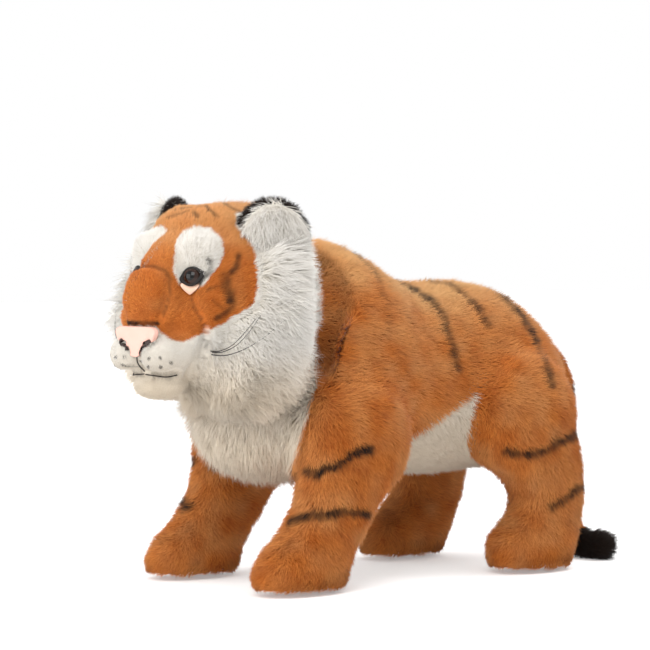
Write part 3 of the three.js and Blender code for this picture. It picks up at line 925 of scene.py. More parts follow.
def grow_pile(name: str, roots: Array, normals: Array, flow: Array, coat: Coat, look: Look,
              seed: int, scale: Array | float = 1.0, lift: Array | float = 0.0) -> bpy.types.Object:
    """Plants tapered locks of pile as one mesh.

    Args:
        name: The new piece's name.
        roots: Points the locks grow from.
        normals: The skin's normals there.
        flow: Direction in which each lock is combed.
        coat: The kind of pile.
        look: Function from points to Marks.
        seed: Picks the strays.
        scale: Share of the coat's length, one for all or one for each.
        lift: Degrees by which the locks stand up more than the coat's own.

    Returns:
        The piece, riding on nothing yet.
    """
    lay, rng, count = coat.value, np.random.default_rng(seed), len(roots)
    tuft = np.stack([soft_noise(roots, lay.tuft_size, seed + k) for k in range(3)], axis=1)
    lean = flow + tuft * lay.tuft + rng.normal(0, lay.stray, (count, 3))
    lean = unit(lean - (lean * normals).sum(axis=1, keepdims=True) * normals)
    waves = lay.rise_waves * soft_noise(roots, lay.wave_size, seed + 5)
    rise = np.radians(lay.rise + lift + rng.normal(0, lay.rise_stray, count) + waves)
    length = lay.length * scale * rng.uniform(lay.shortest, lay.longest, count)
    length = length * (1 + lay.length_waves * soft_noise(roots, lay.length_size, seed + 7))
    points, ring_normals = [], []
    centre = roots.copy()
    spin = rng.uniform(0, 2 * math.pi, count)
    for step in range(lay.steps):
        share = (step + 0.5) / lay.steps
        bend = rise * (1 + lay.curl * (0.5 - share))
        along = normals * np.sin(bend)[:, None] + lean * np.cos(bend)[:, None]
        along[:, 2] -= lay.droop * share
        along = unit(along)
        side = unit(np.cross(along, normals))
        other = np.cross(along, side)
        wide = lay.width / 2 * (1 - step / lay.steps) ** lay.taper
        for corner in range(3):
            angle = spin + corner * 2 * math.pi / 3
            out = side * np.cos(angle)[:, None] + other * np.sin(angle)[:, None]
            points.append(centre + out * wide)
            ring_normals.append(unit(out * lay.rounding + normals * (1 - lay.rounding)))
        centre = centre + along * (length / lay.steps)[:, None]
    points.append(centre)
    ring_normals.append(unit(normals + lay.tip_lean * lean))
    middle = (roots + centre) / 2
    return pile_mesh(name, np.stack(points, axis=1), np.stack(ring_normals, axis=1), lay.steps,
                     look(middle), rng)


# How far single locks and whole patches stray from the middle tone
TONE_STRAY = 0.22
TONE_PATCHES = Waver(11 * MM, 11, 0.25)


def pile_mesh(name: str, points: Array, normals: Array, steps: int, marks: Marks,
              rng: np.random.Generator) -> bpy.types.Object:
    """Mesh of locks from their rings and tips.

    Args:
        name: The new piece's name.
        points: For each lock its rings of three points, then its tip.
        normals: The same for the shading normals.
        steps: Rings in a lock.
        marks: The look of each lock.
        rng: Source of each lock's own tone.

    Returns:
        The piece.
    """
    count, each = points.shape[:2]
    faces = []
    for ring in range(steps):
        for corner in range(3):
            a, b = ring * 3 + corner, ring * 3 + (corner + 1) % 3
            if ring == steps - 1:
                faces.append((a, b, each - 1))
            else:
                faces.extend([(a, b, b + 3), (a, b + 3, a + 3)])
    corners = (np.array(faces)[None] + (np.arange(count) * each)[:, None, None]).reshape(-1)
    mesh = bpy.data.meshes.new(name)
    mesh.vertices.add(count * each)
    mesh.vertices.foreach_set("co", points.astype(np.float32).ravel())
    mesh.loops.add(len(corners))
    mesh.loops.foreach_set("vertex_index", corners.astype(np.int32))
    mesh.polygons.add(len(corners) // 3)
    mesh.polygons.foreach_set("loop_start", np.arange(0, len(corners), 3, dtype=np.int32))
    mesh.update(calc_edges=True)
    along = np.append(np.repeat(np.arange(steps) / steps, 3), 1.0)
    tone = np.clip(rng.normal(0.5, TONE_STRAY, count) + TONE_PATCHES.at(points[:, 0]), 0, 1)
    columns = {"tone": tone, "dark": marks.dark, "pale": marks.pale, "cream_and_painted_shade": marks.cream_and_painted_shade, "tan": marks.tan}
    set_values(mesh, {key: np.repeat(values, each) for key, values in columns.items()})
    set_values(mesh, {"along": np.tile(along, count)})
    lay_out_cells(mesh, corners, count, each, steps)
    mesh.normals_split_custom_set_from_vertices(normals.reshape(-1, 3).tolist())
    piece = bpy.data.objects.new(name, mesh)
    bpy.context.scene.collection.objects.link(piece)
    return piece


def lay_out_cells(mesh: bpy.types.Mesh, corners: Array, count: int, each: int, steps: int) -> None:
    """Gives every lock its own cell of the UV map, its rings nested round its tip.

    Args:
        mesh: The mesh of all locks.
        corners: The point at each corner of its faces.
        count: Number of locks.
        each: Points in a lock.
        steps: Rings in a lock.
    """
    across = math.ceil(math.sqrt(count))
    cells = np.stack([np.arange(count) % across, np.arange(count) // across], axis=1)
    middle, radius, local = (0.5, 0.45), 0.46, []
    for ring in range(steps):
        reach = radius * (1 - ring / steps)
        for corner in range(3):
            angle = math.pi / 2 + corner * 2 * math.pi / 3
            local.append((middle[0] + reach * math.cos(angle), middle[1] + reach * math.sin(angle)))
    local.append(middle)
    places = (cells[:, None] + np.array(local)[None]).reshape(-1, 2) / across
    mesh.uv_layers.new(name=BAKE_UV).data.foreach_set("uv", places[corners].astype(np.float32).ravel())


def set_values(mesh: bpy.types.Mesh, values: dict[str, Array]) -> None:
    """Gives a mesh attributes, each with one value for every point."""
    for key, column in values.items():
        mesh.attributes.new(key, "FLOAT", "POINT").data.foreach_set("value", column.astype(np.float32))


def mark_skin(piece: bpy.types.Object, look: Look, material: bpy.types.Material,
              tone: float = 0.4, along: float = 0.35) -> None:
    """Gives a skin the attributes that the pile's material reads, and the material.

    Args:
        piece: The skin.
        look: Function from points to Marks.
        material: The pile's material.
        tone: The skin's tone.
        along: How far from the roots' colour, darkened partly by painted shade, to the tips' the skin's lies.
    """
    points = Surface.of(piece).points
    marks, whole = look(points), np.ones(len(points))
    set_values(piece.data, {"tone": tone * whole, "along": along * whole, "dark": marks.dark,
                            "pale": marks.pale, "cream_and_painted_shade": marks.cream_and_painted_shade, "tan": marks.tan})
    dress(piece, material)


def dress(piece: bpy.types.Object, material: bpy.types.Material) -> None:
    """Gives a piece one material and smooth shading."""
    piece.data.materials.clear()
    piece.data.materials.append(material)
    piece.data.polygons.foreach_set("use_smooth", [True] * len(piece.data.polygons))


def report(piece: bpy.types.Object, text: str) -> None:
    """Logs a finished piece and its number of faces."""
    log.info("%s: %s, %d faces", piece.name, text, len(piece.data.polygons))


# Body


@dataclass
class Body:
    """Trunk, neck and legs: closed skins, and one coat of pile combed over all of them.

    A pair says where a soft edge starts and ends, in millimetres.
    """

    material: bpy.types.Material
    density: float = 0.85
    bib_density: float = 0.62
    voxel: float = 4 * MM
    inset: float = 6.0 * MM
    root_depth: float = 5.0 * MM
    blend_above: float = 34 * MM
    blend_below: float = 46 * MM
    collar_gap: float = 5 * MM
    collar_reach: float = 10 * MM
    bald_depth: float = 9 * MM
    sole_height: float = 6 * MM
    sole_facing: float = -0.8
    chest_end: float = -60 * MM
    middle_start: float = 0.0
    rear_start: float = 115 * MM
    leg_top: float = 185 * MM
    leg_height: Edge = (190, 110)
    leg_side: Edge = (40, 72)
    chest_back: Edge = (-85, -120)
    chest_height: Edge = (250, 200)
    paw_height: Edge = (30, 8)
    back_flow: Place = (0.0, 1.0, -0.25)
    down_flow: Place = (0.0, 0.12, -1.0)
    paw_flow: Place = (0.0, -0.8, -0.4)
    splay: float = 0.15
    short_paw: Edge = (45, 10)
    short_collar: Edge = (18, 5)
    shortening: float = 0.3
    rim_reach: Edge = (30, 15)
    rim_facing: Edge = (-0.1, 0.5)
    rim_more: float = 0.3
    rim_lift: float = 38
    trunk_nodes: tuple[str, ...] = ("torso", "chest_bib", "belly_panel")

    def build(self, head_tree: BVHTree) -> None:
        """Makes the skins and plants the pile.

        Args:
            head_tree: Search tree of the head, inside which no pile grows.
        """
        whole = stuffed_form([*self.trunk_nodes, "neck", *LEGS], "whole", self.voxel, 0.0, 2)
        fill_hollows(whole, rounds=60)
        apply_modifier(whole, "SMOOTH", {"factor": 0.5, "iterations": 3})
        cover = Surface.of(whole).tree()
        reach_up_to(whole, head_tree, self.collar_gap, self.collar_reach)
        fill_hollows(whole, rounds=24, shrink=0.2)
        surface = Surface.of(whole)
        bpy.data.objects.remove(whole)
        self.build_skin(list(self.trunk_nodes), "trunk_skin", "torso", cover)
        self.build_skin(["neck"], "neck_skin", "neck", cover)
        for leg in LEGS:
            self.build_skin([leg], f"{leg}_skin", leg, cover)
        self.plant(surface, head_tree)

    def build_skin(self, nodes: list[str], name: str, body: str, cover: BVHTree) -> None:
        """Makes the stuffed skin under the pile of one part.

        Args:
            nodes: The CAD nodes that it stands for.
            name: Its name.
            body: The body that it rides on; a leg's skin only has its placement baked.
            cover: Search tree of the whole body's envelope.
        """
        skin = stuffed_form(nodes, name, self.voxel, self.inset, 4)
        tuck_under(skin, cover, self.inset)
        mark_skin(skin, BODY_MARKS.leg if body in LEGS else BODY_MARKS.body, self.material)
        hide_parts(*nodes)
        if body in LEGS:
            self.bend(skin, body)
        else:
            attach(skin, body)
        report(skin, "stuffed part")

    def bend(self, piece: bpy.types.Object, leg: str) -> None:
        """Bakes a piece's placement into its mesh; it does not follow the trunk or the leg."""
        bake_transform(piece)

    def combing(self, roots: Array) -> Array:
        """Direction in which the pile is combed: back along the trunk, down the legs.

        Args:
            roots: Points the locks grow from.

        Returns:
            One direction for each.
        """
        side, back, up = np.abs(roots[:, 0]) / MM, roots[:, 1] / MM, roots[:, 2] / MM
        down = ease(up, *self.leg_height) * ease(side, *self.leg_side)
        chest = ease(back, *self.chest_back) * ease(up, *self.chest_height)
        down = np.maximum(down, chest)[:, None]
        low = ease(up, *self.paw_height)[:, None]
        flow = np.array(self.back_flow) * (1 - down) + np.array(self.down_flow) * down
        flow[:, :1] += np.sign(roots[:, :1]) * self.splay * (1 - down)
        return unit(flow * (1 - low) + np.array(self.paw_flow) * low)

    def leg_of(self, roots: Array) -> Array:
        """Finds the leg that each root belongs to.

        Args:
            roots: Points of the envelope.

        Returns:
            The leg's number for each, or -1 for the trunk.
        """
        near = {node: np.abs(distance_to(roots, Surface.of(frame["nodes"][node]).tree()))
                for node in (*self.trunk_nodes, *LEGS)}
        reaches = [np.min([near[node] for node in self.trunk_nodes], axis=0)]
        owner = np.argmin(reaches + [near[leg] for leg in LEGS], axis=0) - 1
        owner[roots[:, 2] > self.leg_top] = -1
        return owner

    def plant(self, surface: Surface, head_tree: BVHTree) -> None:
        """Plants the pile of the trunk and the legs.

        Args:
            surface: The whole body's envelope.
            head_tree: Search tree of the head.
        """
        roots, normals = surface.scatter(self.density, seed=21)
        reach = distance_to(roots, head_tree)
        sole = (normals[:, 2] < self.sole_facing) & (roots[:, 2] < self.sole_height)
        keep = (reach > -self.bald_depth) & ~sole
        roots, normals, reach = roots[keep], normals[keep], reach[keep]
        long = (BODY_MARKS.body(roots).pale > 0.5) & (roots[:, 1] < self.chest_end)
        owner = self.leg_of(roots)
        owner[long] = -1
        rest = (owner < 0) & ~long
        middle, rear = roots[:, 1] >= self.middle_start, roots[:, 1] >= self.rear_start
        parts = [("trunk_pile_front", rest & ~middle, Coat.BODY),
                 ("trunk_pile_middle", rest & middle & ~rear, Coat.BODY),
                 ("trunk_pile_rear", rest & rear, Coat.BODY)]
        parts += [(f"{leg}_pile", owner == index, Coat.LEG) for index, leg in enumerate(LEGS)]
        for seed, (name, chosen, coat) in enumerate(parts, 40):
            self.plant_part(name, roots[chosen], normals[chosen], reach[chosen], coat, seed)
        bib = long & (np.random.default_rng(seed=8).random(len(roots)) < self.bib_density / self.density)
        self.plant_part("bib_pile", roots[bib], normals[bib], reach[bib], Coat.BIB, seed=60)

    def plant_part(self, name: str, roots: Array, normals: Array, reach: Array, coat: Coat,
                   seed: int) -> None:
        """Plants one part of the coat; a part of the trunk rides on the torso, a leg's part only has its
        placement baked.

        Args:
            name: Its name.
            roots: Points of the envelope.
            normals: Its normals there.
            reach: Distance of each point to the head.
            coat: The kind of pile.
            seed: Picks the strays.
        """
        scale, lift = np.ones(len(roots)), np.zeros(len(roots))
        if coat is Coat.LEG:
            scale -= self.shortening * ease(roots[:, 2] / MM, *self.short_paw)
        elif coat is Coat.BIB:
            rim = ease(normals[:, 2], *self.rim_facing) * ease(reach / MM, *self.rim_reach)
            scale, lift = scale + self.rim_more * rim, self.rim_lift * rim
        else:
            scale -= self.shortening * ease(reach / MM, *self.short_collar)
        look = BODY_MARKS.leg if coat is Coat.LEG else BODY_MARKS.body
        piece = grow_pile(name, roots - normals * self.root_depth, normals, self.combing(roots),
                          coat, look, seed, scale, lift)
        dress(piece, self.material)
        leg = name.removesuffix("_pile")
        if leg in LEGS:
            self.bend(piece, leg)
        else:
            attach(piece, "torso")
        report(piece, f"pile of {len(roots)} locks")


@dataclass
class Tail:
    """Tail in its two lengths, with dark rings and a black tip."""

    material: bpy.types.Material
    density: float = 0.9
    voxel: float = 3 * MM
    inset: float = 3.5 * MM
    overrun: float = 20 * MM
    ring_heights: tuple[float, ...] = (160, 128, 92, 62)
    ring_edge: Edge = (6, 3)
    ring_strength: float = 0.85
    ragged: Waver = Waver(3 * MM, 6, 1.5)
    lying: Edge = (40, 16)
    lying_flow: Place = (1.6, 0.0, 0.9)

    def ringed(self, points: Array) -> Marks:
        """Dark rings down the tail.

        Args:
            points: Points in metres.

        Returns:
            The look of each.
        """
        marks = Marks.plain(len(points))
        ragged = self.ragged.at(points)
        for height in self.ring_heights:
            ring = ease(np.abs(points[:, 2] / MM - height) + ragged, *self.ring_edge)
            marks.dark = np.maximum(marks.dark, self.ring_strength * ring)
        return marks

    def build(self) -> None:
        """Makes the skins and the pile of each length."""
        whole = stuffed_form(["tail_upper", "tail_lower", "tail_tip"], "tail_envelope", self.voxel, 0.0, 2)
        fill_hollows(whole, rounds=12)
        roots, normals = Surface.of(whole).scatter(self.density, seed=70)
        bpy.data.objects.remove(whole)
        (upper, root), (lower, joint), (tip, tip_top) = ((corner[2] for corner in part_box(node))
                                                         for node in ("tail_upper", "tail_lower", "tail_tip"))
        for seed, (node, body, look, bottom, top) in enumerate([
                ("tail_upper", "tail_upper", self.ringed, upper, root + self.overrun),
                ("tail_lower", "tail_lower", self.ringed, max(tip_top, lower), joint),
                ("tail_tip", "tail_lower", black_marks, tip, tip_top)], start=74):
            skin = stuffed_form([node], f"{node}_skin", self.voxel, self.inset, 2)
            mark_skin(skin, look, self.material)
            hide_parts(node)
            "black_fur" if node == "tail_tip" else "orange_fur"
            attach(skin, body)
            report(skin, "stuffed length")
            chosen = (roots[:, 2] > bottom) & (roots[:, 2] <= top)
            self.plant(node, body, look, roots[chosen], normals[chosen], seed)

    def plant(self, node: str, body: str, look: Look, roots: Array, normals: Array, seed: int) -> None:
        """Plants the pile of one length.

        Args:
            node: The CAD node that it belongs to.
            body: The body that it rides on.
            look: Function from points to Marks.
            roots: Points of the tail's envelope.
            normals: Its normals there.
            seed: Picks the strays.
        """
        along = np.array([0.0, 0.0, -1.0]) + np.outer(ease(roots[:, 2] / MM, *self.lying), self.lying_flow)
        coat = Coat.TAIL_TIP if node == "tail_tip" else Coat.TAIL
        pile = grow_pile(f"{node}_pile", roots - normals * self.inset, normals, unit(along), coat, look, seed)
        dress(pile, self.material)
        "black_fur" if node == "tail_tip" else "orange_fur"
        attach(pile, body)
        report(pile, f"pile of {len(roots)} locks")


# Head


@dataclass(frozen=True)
class FaceFrame:
    """The head's own frame: x to its left, y back and z up, from the middle of the head."""

    forward: float = 47 * MM
    lift: float = 10 * MM
    view: float = math.radians(44)

    @property
    def yaw(self) -> float:
        """Angle by which the head is turned."""
        axis = JOINTS["head_nod"]["axis"]
        return math.atan2(axis[1], axis[0])

    @property
    def matrix(self) -> Matrix:
        """Matrix from the head's frame to the model's."""
        pivot = Matrix.Translation(JOINTS["head_nod"]["pos_m"])
        return pivot @ Matrix.Rotation(self.yaw, 4, "Z") @ Matrix.Translation((0, -self.forward, self.lift))

    def local(self, points: Array) -> Array:
        """Points of the model in the head's frame."""
        back = np.array(self.matrix.inverted())
        return points @ back[:3, :3].T + back[:3, 3]

    def world(self, points: Array) -> Array:
        """Points of the head's frame in the model's."""
        there = np.array(self.matrix)
        return points @ there[:3, :3].T + there[:3, 3]

    def turn(self, vectors: Array) -> Array:
        """Directions of the head's frame in the model's."""
        return vectors @ np.array(self.matrix)[:3, :3].T

    def chart(self, local: Array) -> Array:
        """Flat places across and up, the same on both halves of the face."""
        across = np.abs(local[:, 0]) * math.cos(self.view) + local[:, 1] * math.sin(self.view)
        return np.stack([across, local[:, 2]], axis=1)


FACE = FaceFrame()

# Face markings on the chart: outlines and lines, across and up in millimetres
BROW = ((-63, 56), (-62, 67), (-56, 77), (-45, 81), (-32, 78), (-22, 69), (-20, 59), (-24, 48), (-30, 40),
        (-36, 32), (-44, 27), (-52, 27), (-59, 33), (-63, 43))
FACE_WHITE = ((-140, -4), (-118, -4), (-78, -4), (-73, -9), (-64, -15), (-54, -17), (-45, -13), (-37, -9),
              (-26, -4), (-16, 2), (-8, 7), (0, 12), (6, 17), (8, 29), (8, 44), (5, 59), (1, 69), (-6, 75),
              (-11, 80), (-11, 92), (60, 100), (60, -90), (-140, -90))
CREASES = (
    ((-93, 50), (-78, 46), (-70, 43), (-66, 36), (-66, 25), (-69, 11), (-74, 2)),
    ((-49, 23), (-46, 13), (-39, 3), (-36, -4), (-36, -14), (-34, -27), (-33, -38)),
)
MOUTH = ((-103, -44), (-99, -41), (-96, -42), (-88, -45), (-78, -46), (-68, -47), (-60, -45))


@dataclass(frozen=True)
class Streak:
    """Dark streak on the chart: its line, half width, softness and strength."""

    line: tuple[Edge, ...]
    width: float
    soft: float
    strength: float


STREAKS = (
    Streak(((-41, 99), (-32, 93), (-26, 88)), 0.5, 1.0, 0.75),
    Streak(((-24, 100), (-16, 96), (-9, 93)), 0.5, 1.0, 0.75),
    Streak(((-77, 90), (-69, 93)), 1.6, 1.4, 0.75),
    Streak(((-48, 92), (-44, 89)), 1.6, 1.4, 0.6),
    Streak(((-33, 53), (-31, 48), (-32, 43), (-37, 37), (-41, 33)), 1.0, 2.2, 0.8),
    Streak(((-8, 56), (-10, 46), (-15, 40)), 1.2, 3.4, 0.8),
    Streak(((-18, 38), (-19, 30), (-15, 23), (-14, 17)), 2.4, 5.0, 0.9),
    Streak(((-13, 13), (-18, 8), (-26, 3)), 1.4, 3.4, 0.75),
    # Painted shadow: dark line along the top edge of the nose
    Streak(((-116, -1.6), (-95, -1.2), (-76, -1.6)), 1.4, 1.3, 0.95),
    Streak(((-34, 27), (-25, 30)), 0.9, 1.8, 0.45),
    Streak(((-29, 18), (-22, 12)), 0.8, 1.8, 0.45),
)
WHISKER_DOTS = ((-91, -34), (-83, -31), (-73, -30), (-84, -38), (-73, -38), (-64, -34))
MUZZLE_SEAM = ((-37, -6), (-35, -20), (-38, -34), (-47, -44))


@dataclass(frozen=True)
class Zone:
    """Part of the head with soft edges; a pair says where one starts and ends, in millimetres."""

    across: Edge | None = None
    back: Edge | None = None
    up: Edge | None = None

    def share(self, local: Array) -> Array:
        """How far places of the head's frame lie in the zone.

        Args:
            local: The places in millimetres.

        Returns:
            0 to 1 for each.
        """
        share = np.ones(len(local))
        for column, edge in zip((np.abs(local[:, 0]), local[:, 1], local[:, 2]),
                                (self.across, self.back, self.up)):
            if edge:
                share = share * ease(column, *edge)
        return share


@dataclass(frozen=True)
class FaceMarks:
    """How strong the head's colours are and where they fade, in millimetres."""

    ragged: tuple[Waver, Waver] = (Waver(2.2 * MM, 13, 0.9), Waver(6 * MM, 14, 0.6))
    outline_edge: Edge = (-1, 1)
    nape: Zone = Zone((70, 60), (-46, -32), (-52, -42))
    # Painted shade: the white turns creamier low on the head
    low: Zone = Zone(up=(-12, -68))
    streak_ragged: float = 0.8
    streak_core: float = 0.4
    least_streak: float = 0.85
    broken: Waver = Waver(5 * MM, 16, 0.35)
    least_cream: float = 0.06
    painted_shade_cream: float = 0.85
    # Painted shade in the face's creases and along the mouth, weaker on the white
    crease_edge: Edge = (2.6, 0.4)
    crease_shade: float = 0.45
    less_on_pale: float = 0.30
    mouth_edge: Edge = (3.4, 0.6)
    mouth_shade: float = 0.30
    dot_edge: Edge = (1.9, 0.9)
    dot_shade: float = 0.75
    # Painted light: more tan towards the top of the head, as if lit from above
    crown: Zone = Zone(up=(35, 95))
    painted_crown_light: float = 0.55
    patches: Waver = Waver(14 * MM, 15, 0.15)

    def cream_and_painted_shade(self, local: Array) -> Array:
        """Share of cream in the white: a little of its own everywhere, more low down as painted shade."""
        return self.least_cream + self.painted_shade_cream * self.low.share(local)

    def face(self, points: Array) -> Marks:
        """Markings of the head.

        Args:
            points: Points in metres, in the model's frame.

        Returns:
            The look of each.
        """
        local = FACE.local(points) / MM
        chart = FACE.chart(local)
        ragged = sum(waver.at(points) for waver in self.ragged)
        marks = Marks.plain(len(points))
        brow = ease(inside_outline(chart, BROW) + ragged, *self.outline_edge)
        below = ease(inside_outline(chart, FACE_WHITE) + ragged, *self.outline_edge)
        marks.pale = np.maximum(brow, below * (1 - self.nape.share(local)))
        marks.cream_and_painted_shade = self.cream_and_painted_shade(local)
        broken = self.least_streak + self.broken.at(points)
        for streak in STREAKS:
            distance = near_line(chart, streak.line) + ragged * self.streak_ragged
            core = streak.width - streak.soft * self.streak_core
            shade = ease(distance, streak.width + streak.soft, core)
            marks.dark = np.maximum(marks.dark, np.clip(streak.strength * shade * broken, 0, 1))
        # Painted shade in the creases and along the mouth
        for crease in CREASES:
            shade = ease(near_line(chart, crease), *self.crease_edge)
            marks.dark = np.maximum(marks.dark, shade * (self.crease_shade - self.less_on_pale * marks.pale))
        shade = self.mouth_shade * ease(near_line(chart, MOUTH), *self.mouth_edge)
        marks.dark = np.maximum(marks.dark, shade)
        for dot in WHISKER_DOTS:
            shade = ease(np.linalg.norm(chart - np.array(dot), axis=1), *self.dot_edge)
            marks.dark = np.maximum(marks.dark, self.dot_shade * shade)
        # Painted light on the top of the head, over the fur's own tan patches
        marks.tan = np.clip(self.crown.share(local) * self.painted_crown_light + self.patches.at(points), 0, 1)
        return marks

    def white(self, points: Array) -> Marks:
        """White pile, creamier low down as painted shade."""
        marks = Marks.plain(len(points), pale=1)
        marks.cream_and_painted_shade = self.cream_and_painted_shade(FACE.local(points) / MM)
        return marks


FACE_MARKS = FaceMarks()


@dataclass(frozen=True)
class Bump:
    """Soft rise of the face, or a hollow: its centre in the head's frame, reach and height."""

    centre: Place
    reach: float
    height: float


@dataclass(frozen=True)
class Groove:
    """Line pressed into the face on the chart: its edge starts and ends at these distances."""

    line: tuple[Edge, ...]
    edge: Edge
    depth: float


# Brow, eye socket, muzzle pad, cheek beside the nose, chin and crown, on both halves
BUMPS = (
    Bump((38, -97, 62), 25, 7.0),
    Bump((34, -104, 35), 12, -4.0),
    Bump((23, -132, -28), 24, 5.5),
    Bump((36, -110, 4), 20, 3.5),
    Bump((0, -122, -57), 22, 2.5),
    Bump((28, -64, 84), 28, 4.0),
)
GROOVES = (
    *[Groove(crease, (6, 0.5), 3.6) for crease in CREASES],
    Groove(MOUTH, (6, 0.5), 4.8),
    Groove(MUZZLE_SEAM, (8, 1), 3.0),
)


@dataclass
class Head:
    """Skull, bridge, muzzle and chin in one skin, the ruffs and the ears, with their pile.

    Zones, pairs and places of the face are in millimetres.
    """

    material: bpy.types.Material
    voxel: float = 3 * MM
    inset: float = 2.6 * MM
    density: float = 1.35
    nodes: tuple[str, ...] = ("head", "muzzle", "nose_bridge", "chin")
    behind_face: Zone = Zone(back=(-102, -74))
    front: Zone = Zone(back=(-70, -85))
    bridge: Zone = Zone((30, 15), (-100, -112))
    bridge_middle: float = 27
    bridge_edge: Edge = (24, 6)
    bridge_rise: float = 4.5
    forehead: Zone = Zone((30, 10))
    forehead_middle: float = 54
    forehead_rise: float = 5.0
    cleft: tuple[Place, ...] = ((0, -150, -24), (0, -150, -43))
    cleft_edge: Edge = (6, 0.5)
    cleft_depth: float = 3.0
    cleft_flatness: Place = (1, 0.2, 1)
    bump_top: float = 0.2
    snout: Zone = Zone(back=(-85, -120))
    back_of_head: Zone = Zone(back=(-46, -20))
    muzzle_start: float = -95
    ruff_density: float = 0.96
    ruff_start: float = -98
    ruff_edge: float = 4
    ruff_voxel: float = 3.5 * MM
    ruff_inset: float = 4 * MM
    ruff_depth: float = 3.5 * MM
    ruff_root: float = 3 * MM
    nose_tip: Place = (0, -150, 0)
    less_backward: float = 0.8
    backward: float = 20
    droop: float = 45
    drooping: Zone = Zone(up=(10, -40))
    snout_less: float = 0.4
    back_more: float = 1.6
    brow_edge: Edge = (1, 7)
    brow_more: float = 0.6
    crease_edge: Edge = (4, 1)
    crease_less: float = 0.45
    ruff_flow: Place = (0.35, 0.85, -0.40)
    fan: float = 1.3
    sweep: float = 0.9
    far_sweep: float = 0.2
    hang: float = 0.7
    stand: float = 0.6
    least_ruff: float = 0.24
    more_ruff: float = 0.78
    full_ruff: Edge = (2, 26)
    behind_less: float = 0.1
    fringe_more: float = 0.6
    jowl_less: float = 0.35
    facing_down: Edge = (-0.2, -0.6)
    under_edge: Edge = (-62, -48)
    under_less: float = 0.75
    far_more: float = 0.25
    puff_lift: float = 14
    throat_lift: float = 20
    far_lift: float = 4
    fanned: Zone = Zone(back=(-45, -72))
    swept: Zone = Zone(back=(-50, -78))
    hanging: Zone = Zone(up=(0, -60))
    upright: Zone = Zone(up=(30, 70))
    beside_face: Zone = Zone(back=(-102, -76))
    behind_ruff: Zone = Zone(back=(-25, 0))
    fringe: Zone = Zone((62, 80), (-42, -62), (-10, 15))
    far_fringe: Zone = Zone((58, 76), (-42, -62), (-20, 10))
    jowl: Zone = Zone(back=(-58, -74), up=(0, -30))
    puffed: Zone = Zone((60, 80), (-30, -60))
    throat: Zone = Zone(up=(-50, -66))
    widest: float = 116 * MM
    squeeze: float = 0.45
    ear_voxel: float = 2 * MM
    ear_inset: float = 0.5 * MM
    ear_swell: float = 0.8 * MM
    ear_density: float = 1.3
    lining_density: float = 1.1
    lining_edge: Edge = (18, 29)
    lining_facing: float = -0.2
    lining_less: float = 0.50
    lining_spread: float = 0.35
    lining_flow: Place = (0, 0, -0.03)
    lining_gap: float = 1.5 * MM
    far_lining: float = 1.35
    tree: BVHTree | None = None

    def build(self) -> None:
        """Makes the face, the ruffs and the ears."""
        self.plant(self.build_skin())
        for side in SIDES:
            self.build_ruff(side)
            self.build_ear(side)

    def build_skin(self) -> Surface:
        """Makes the face's skin and the envelope that the head's pile grows from.

        Returns:
            The envelope of the face and the ruffs.
        """
        envelope = stuffed_form([*self.nodes, "cheek_ruff_left", "cheek_ruff_right"], "head_envelope",
                                self.voxel, inset=0.0, rounds=2, swell=2.0 * MM)
        before = Surface.of(envelope).points
        fill_hollows(envelope, rounds=60, shrink=0.15)
        after = Surface.of(envelope).points
        behind = self.behind_face.share(FACE.local(before) / MM)[:, None]
        moved = before * (1 - behind) + after * behind
        envelope.data.vertices.foreach_set("co", moved.astype(np.float32).ravel())
        fill_hollows(envelope, rounds=8, shrink=0.7)
        self.sculpt(envelope)
        surface = Surface.of(envelope)
        self.tree = surface.tree()
        bpy.data.objects.remove(envelope)

        skin = stuffed_form(list(self.nodes), "face_skin", self.voxel, self.inset, rounds=3, swell=1.5 * MM)
        tuck_under(skin, self.tree, self.inset)
        mark_skin(skin, FACE_MARKS.face, self.material)
        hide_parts(*self.nodes)
        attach(skin, "head")
        report(skin, "stuffed face")
        return surface

    def sculpt(self, skin: bpy.types.Object) -> None:
        """Raises the brows, pads and bridge, and presses in the eye sockets, creases and mouth.

        Args:
            skin: The envelope of the head.
        """
        surface = Surface.of(skin)
        folded = FACE.local(surface.points) / MM
        chart = FACE.chart(folded)
        folded[:, 0] = np.abs(folded[:, 0])
        push = np.zeros(len(folded))
        for bump in BUMPS:
            distance = np.linalg.norm(folded - bump.centre, axis=1)
            push += bump.height * ease(distance, bump.reach, bump.reach * self.bump_top)
        for zone, middle, rise in ((self.bridge, self.bridge_middle, self.bridge_rise),
                                   (self.forehead, self.forehead_middle, self.forehead_rise)):
            push += rise * zone.share(folded) * ease(np.abs(folded[:, 2] - middle), *self.bridge_edge)
        front = self.front.share(folded)
        for groove in GROOVES:
            push -= groove.depth * ease(near_line(chart, groove.line), *groove.edge) * front
        flat = np.array(self.cleft_flatness)
        cleft = near_line(folded * flat, np.array(self.cleft) * flat)
        push -= self.cleft_depth * ease(cleft, *self.cleft_edge) * front
        moved = surface.points + surface.normals * (push * MM)[:, None]
        skin.data.vertices.foreach_set("co", moved.astype(np.float32).ravel())
        skin.data.update()
        apply_modifier(skin, "SMOOTH", {"factor": 0.4, "iterations": 2})

    def combing(self, roots: Array) -> Array:
        """Direction of the face's pile: from the nose outwards and back.

        Args:
            roots: Points the locks grow from.

        Returns:
            One direction for each.
        """
        local = FACE.local(roots) / MM
        away = local - self.nose_tip
        away[:, 1] = away[:, 1] * self.less_backward + self.backward
        away[:, 2] -= self.droop * self.drooping.share(local)
        return FACE.turn(unit(away))

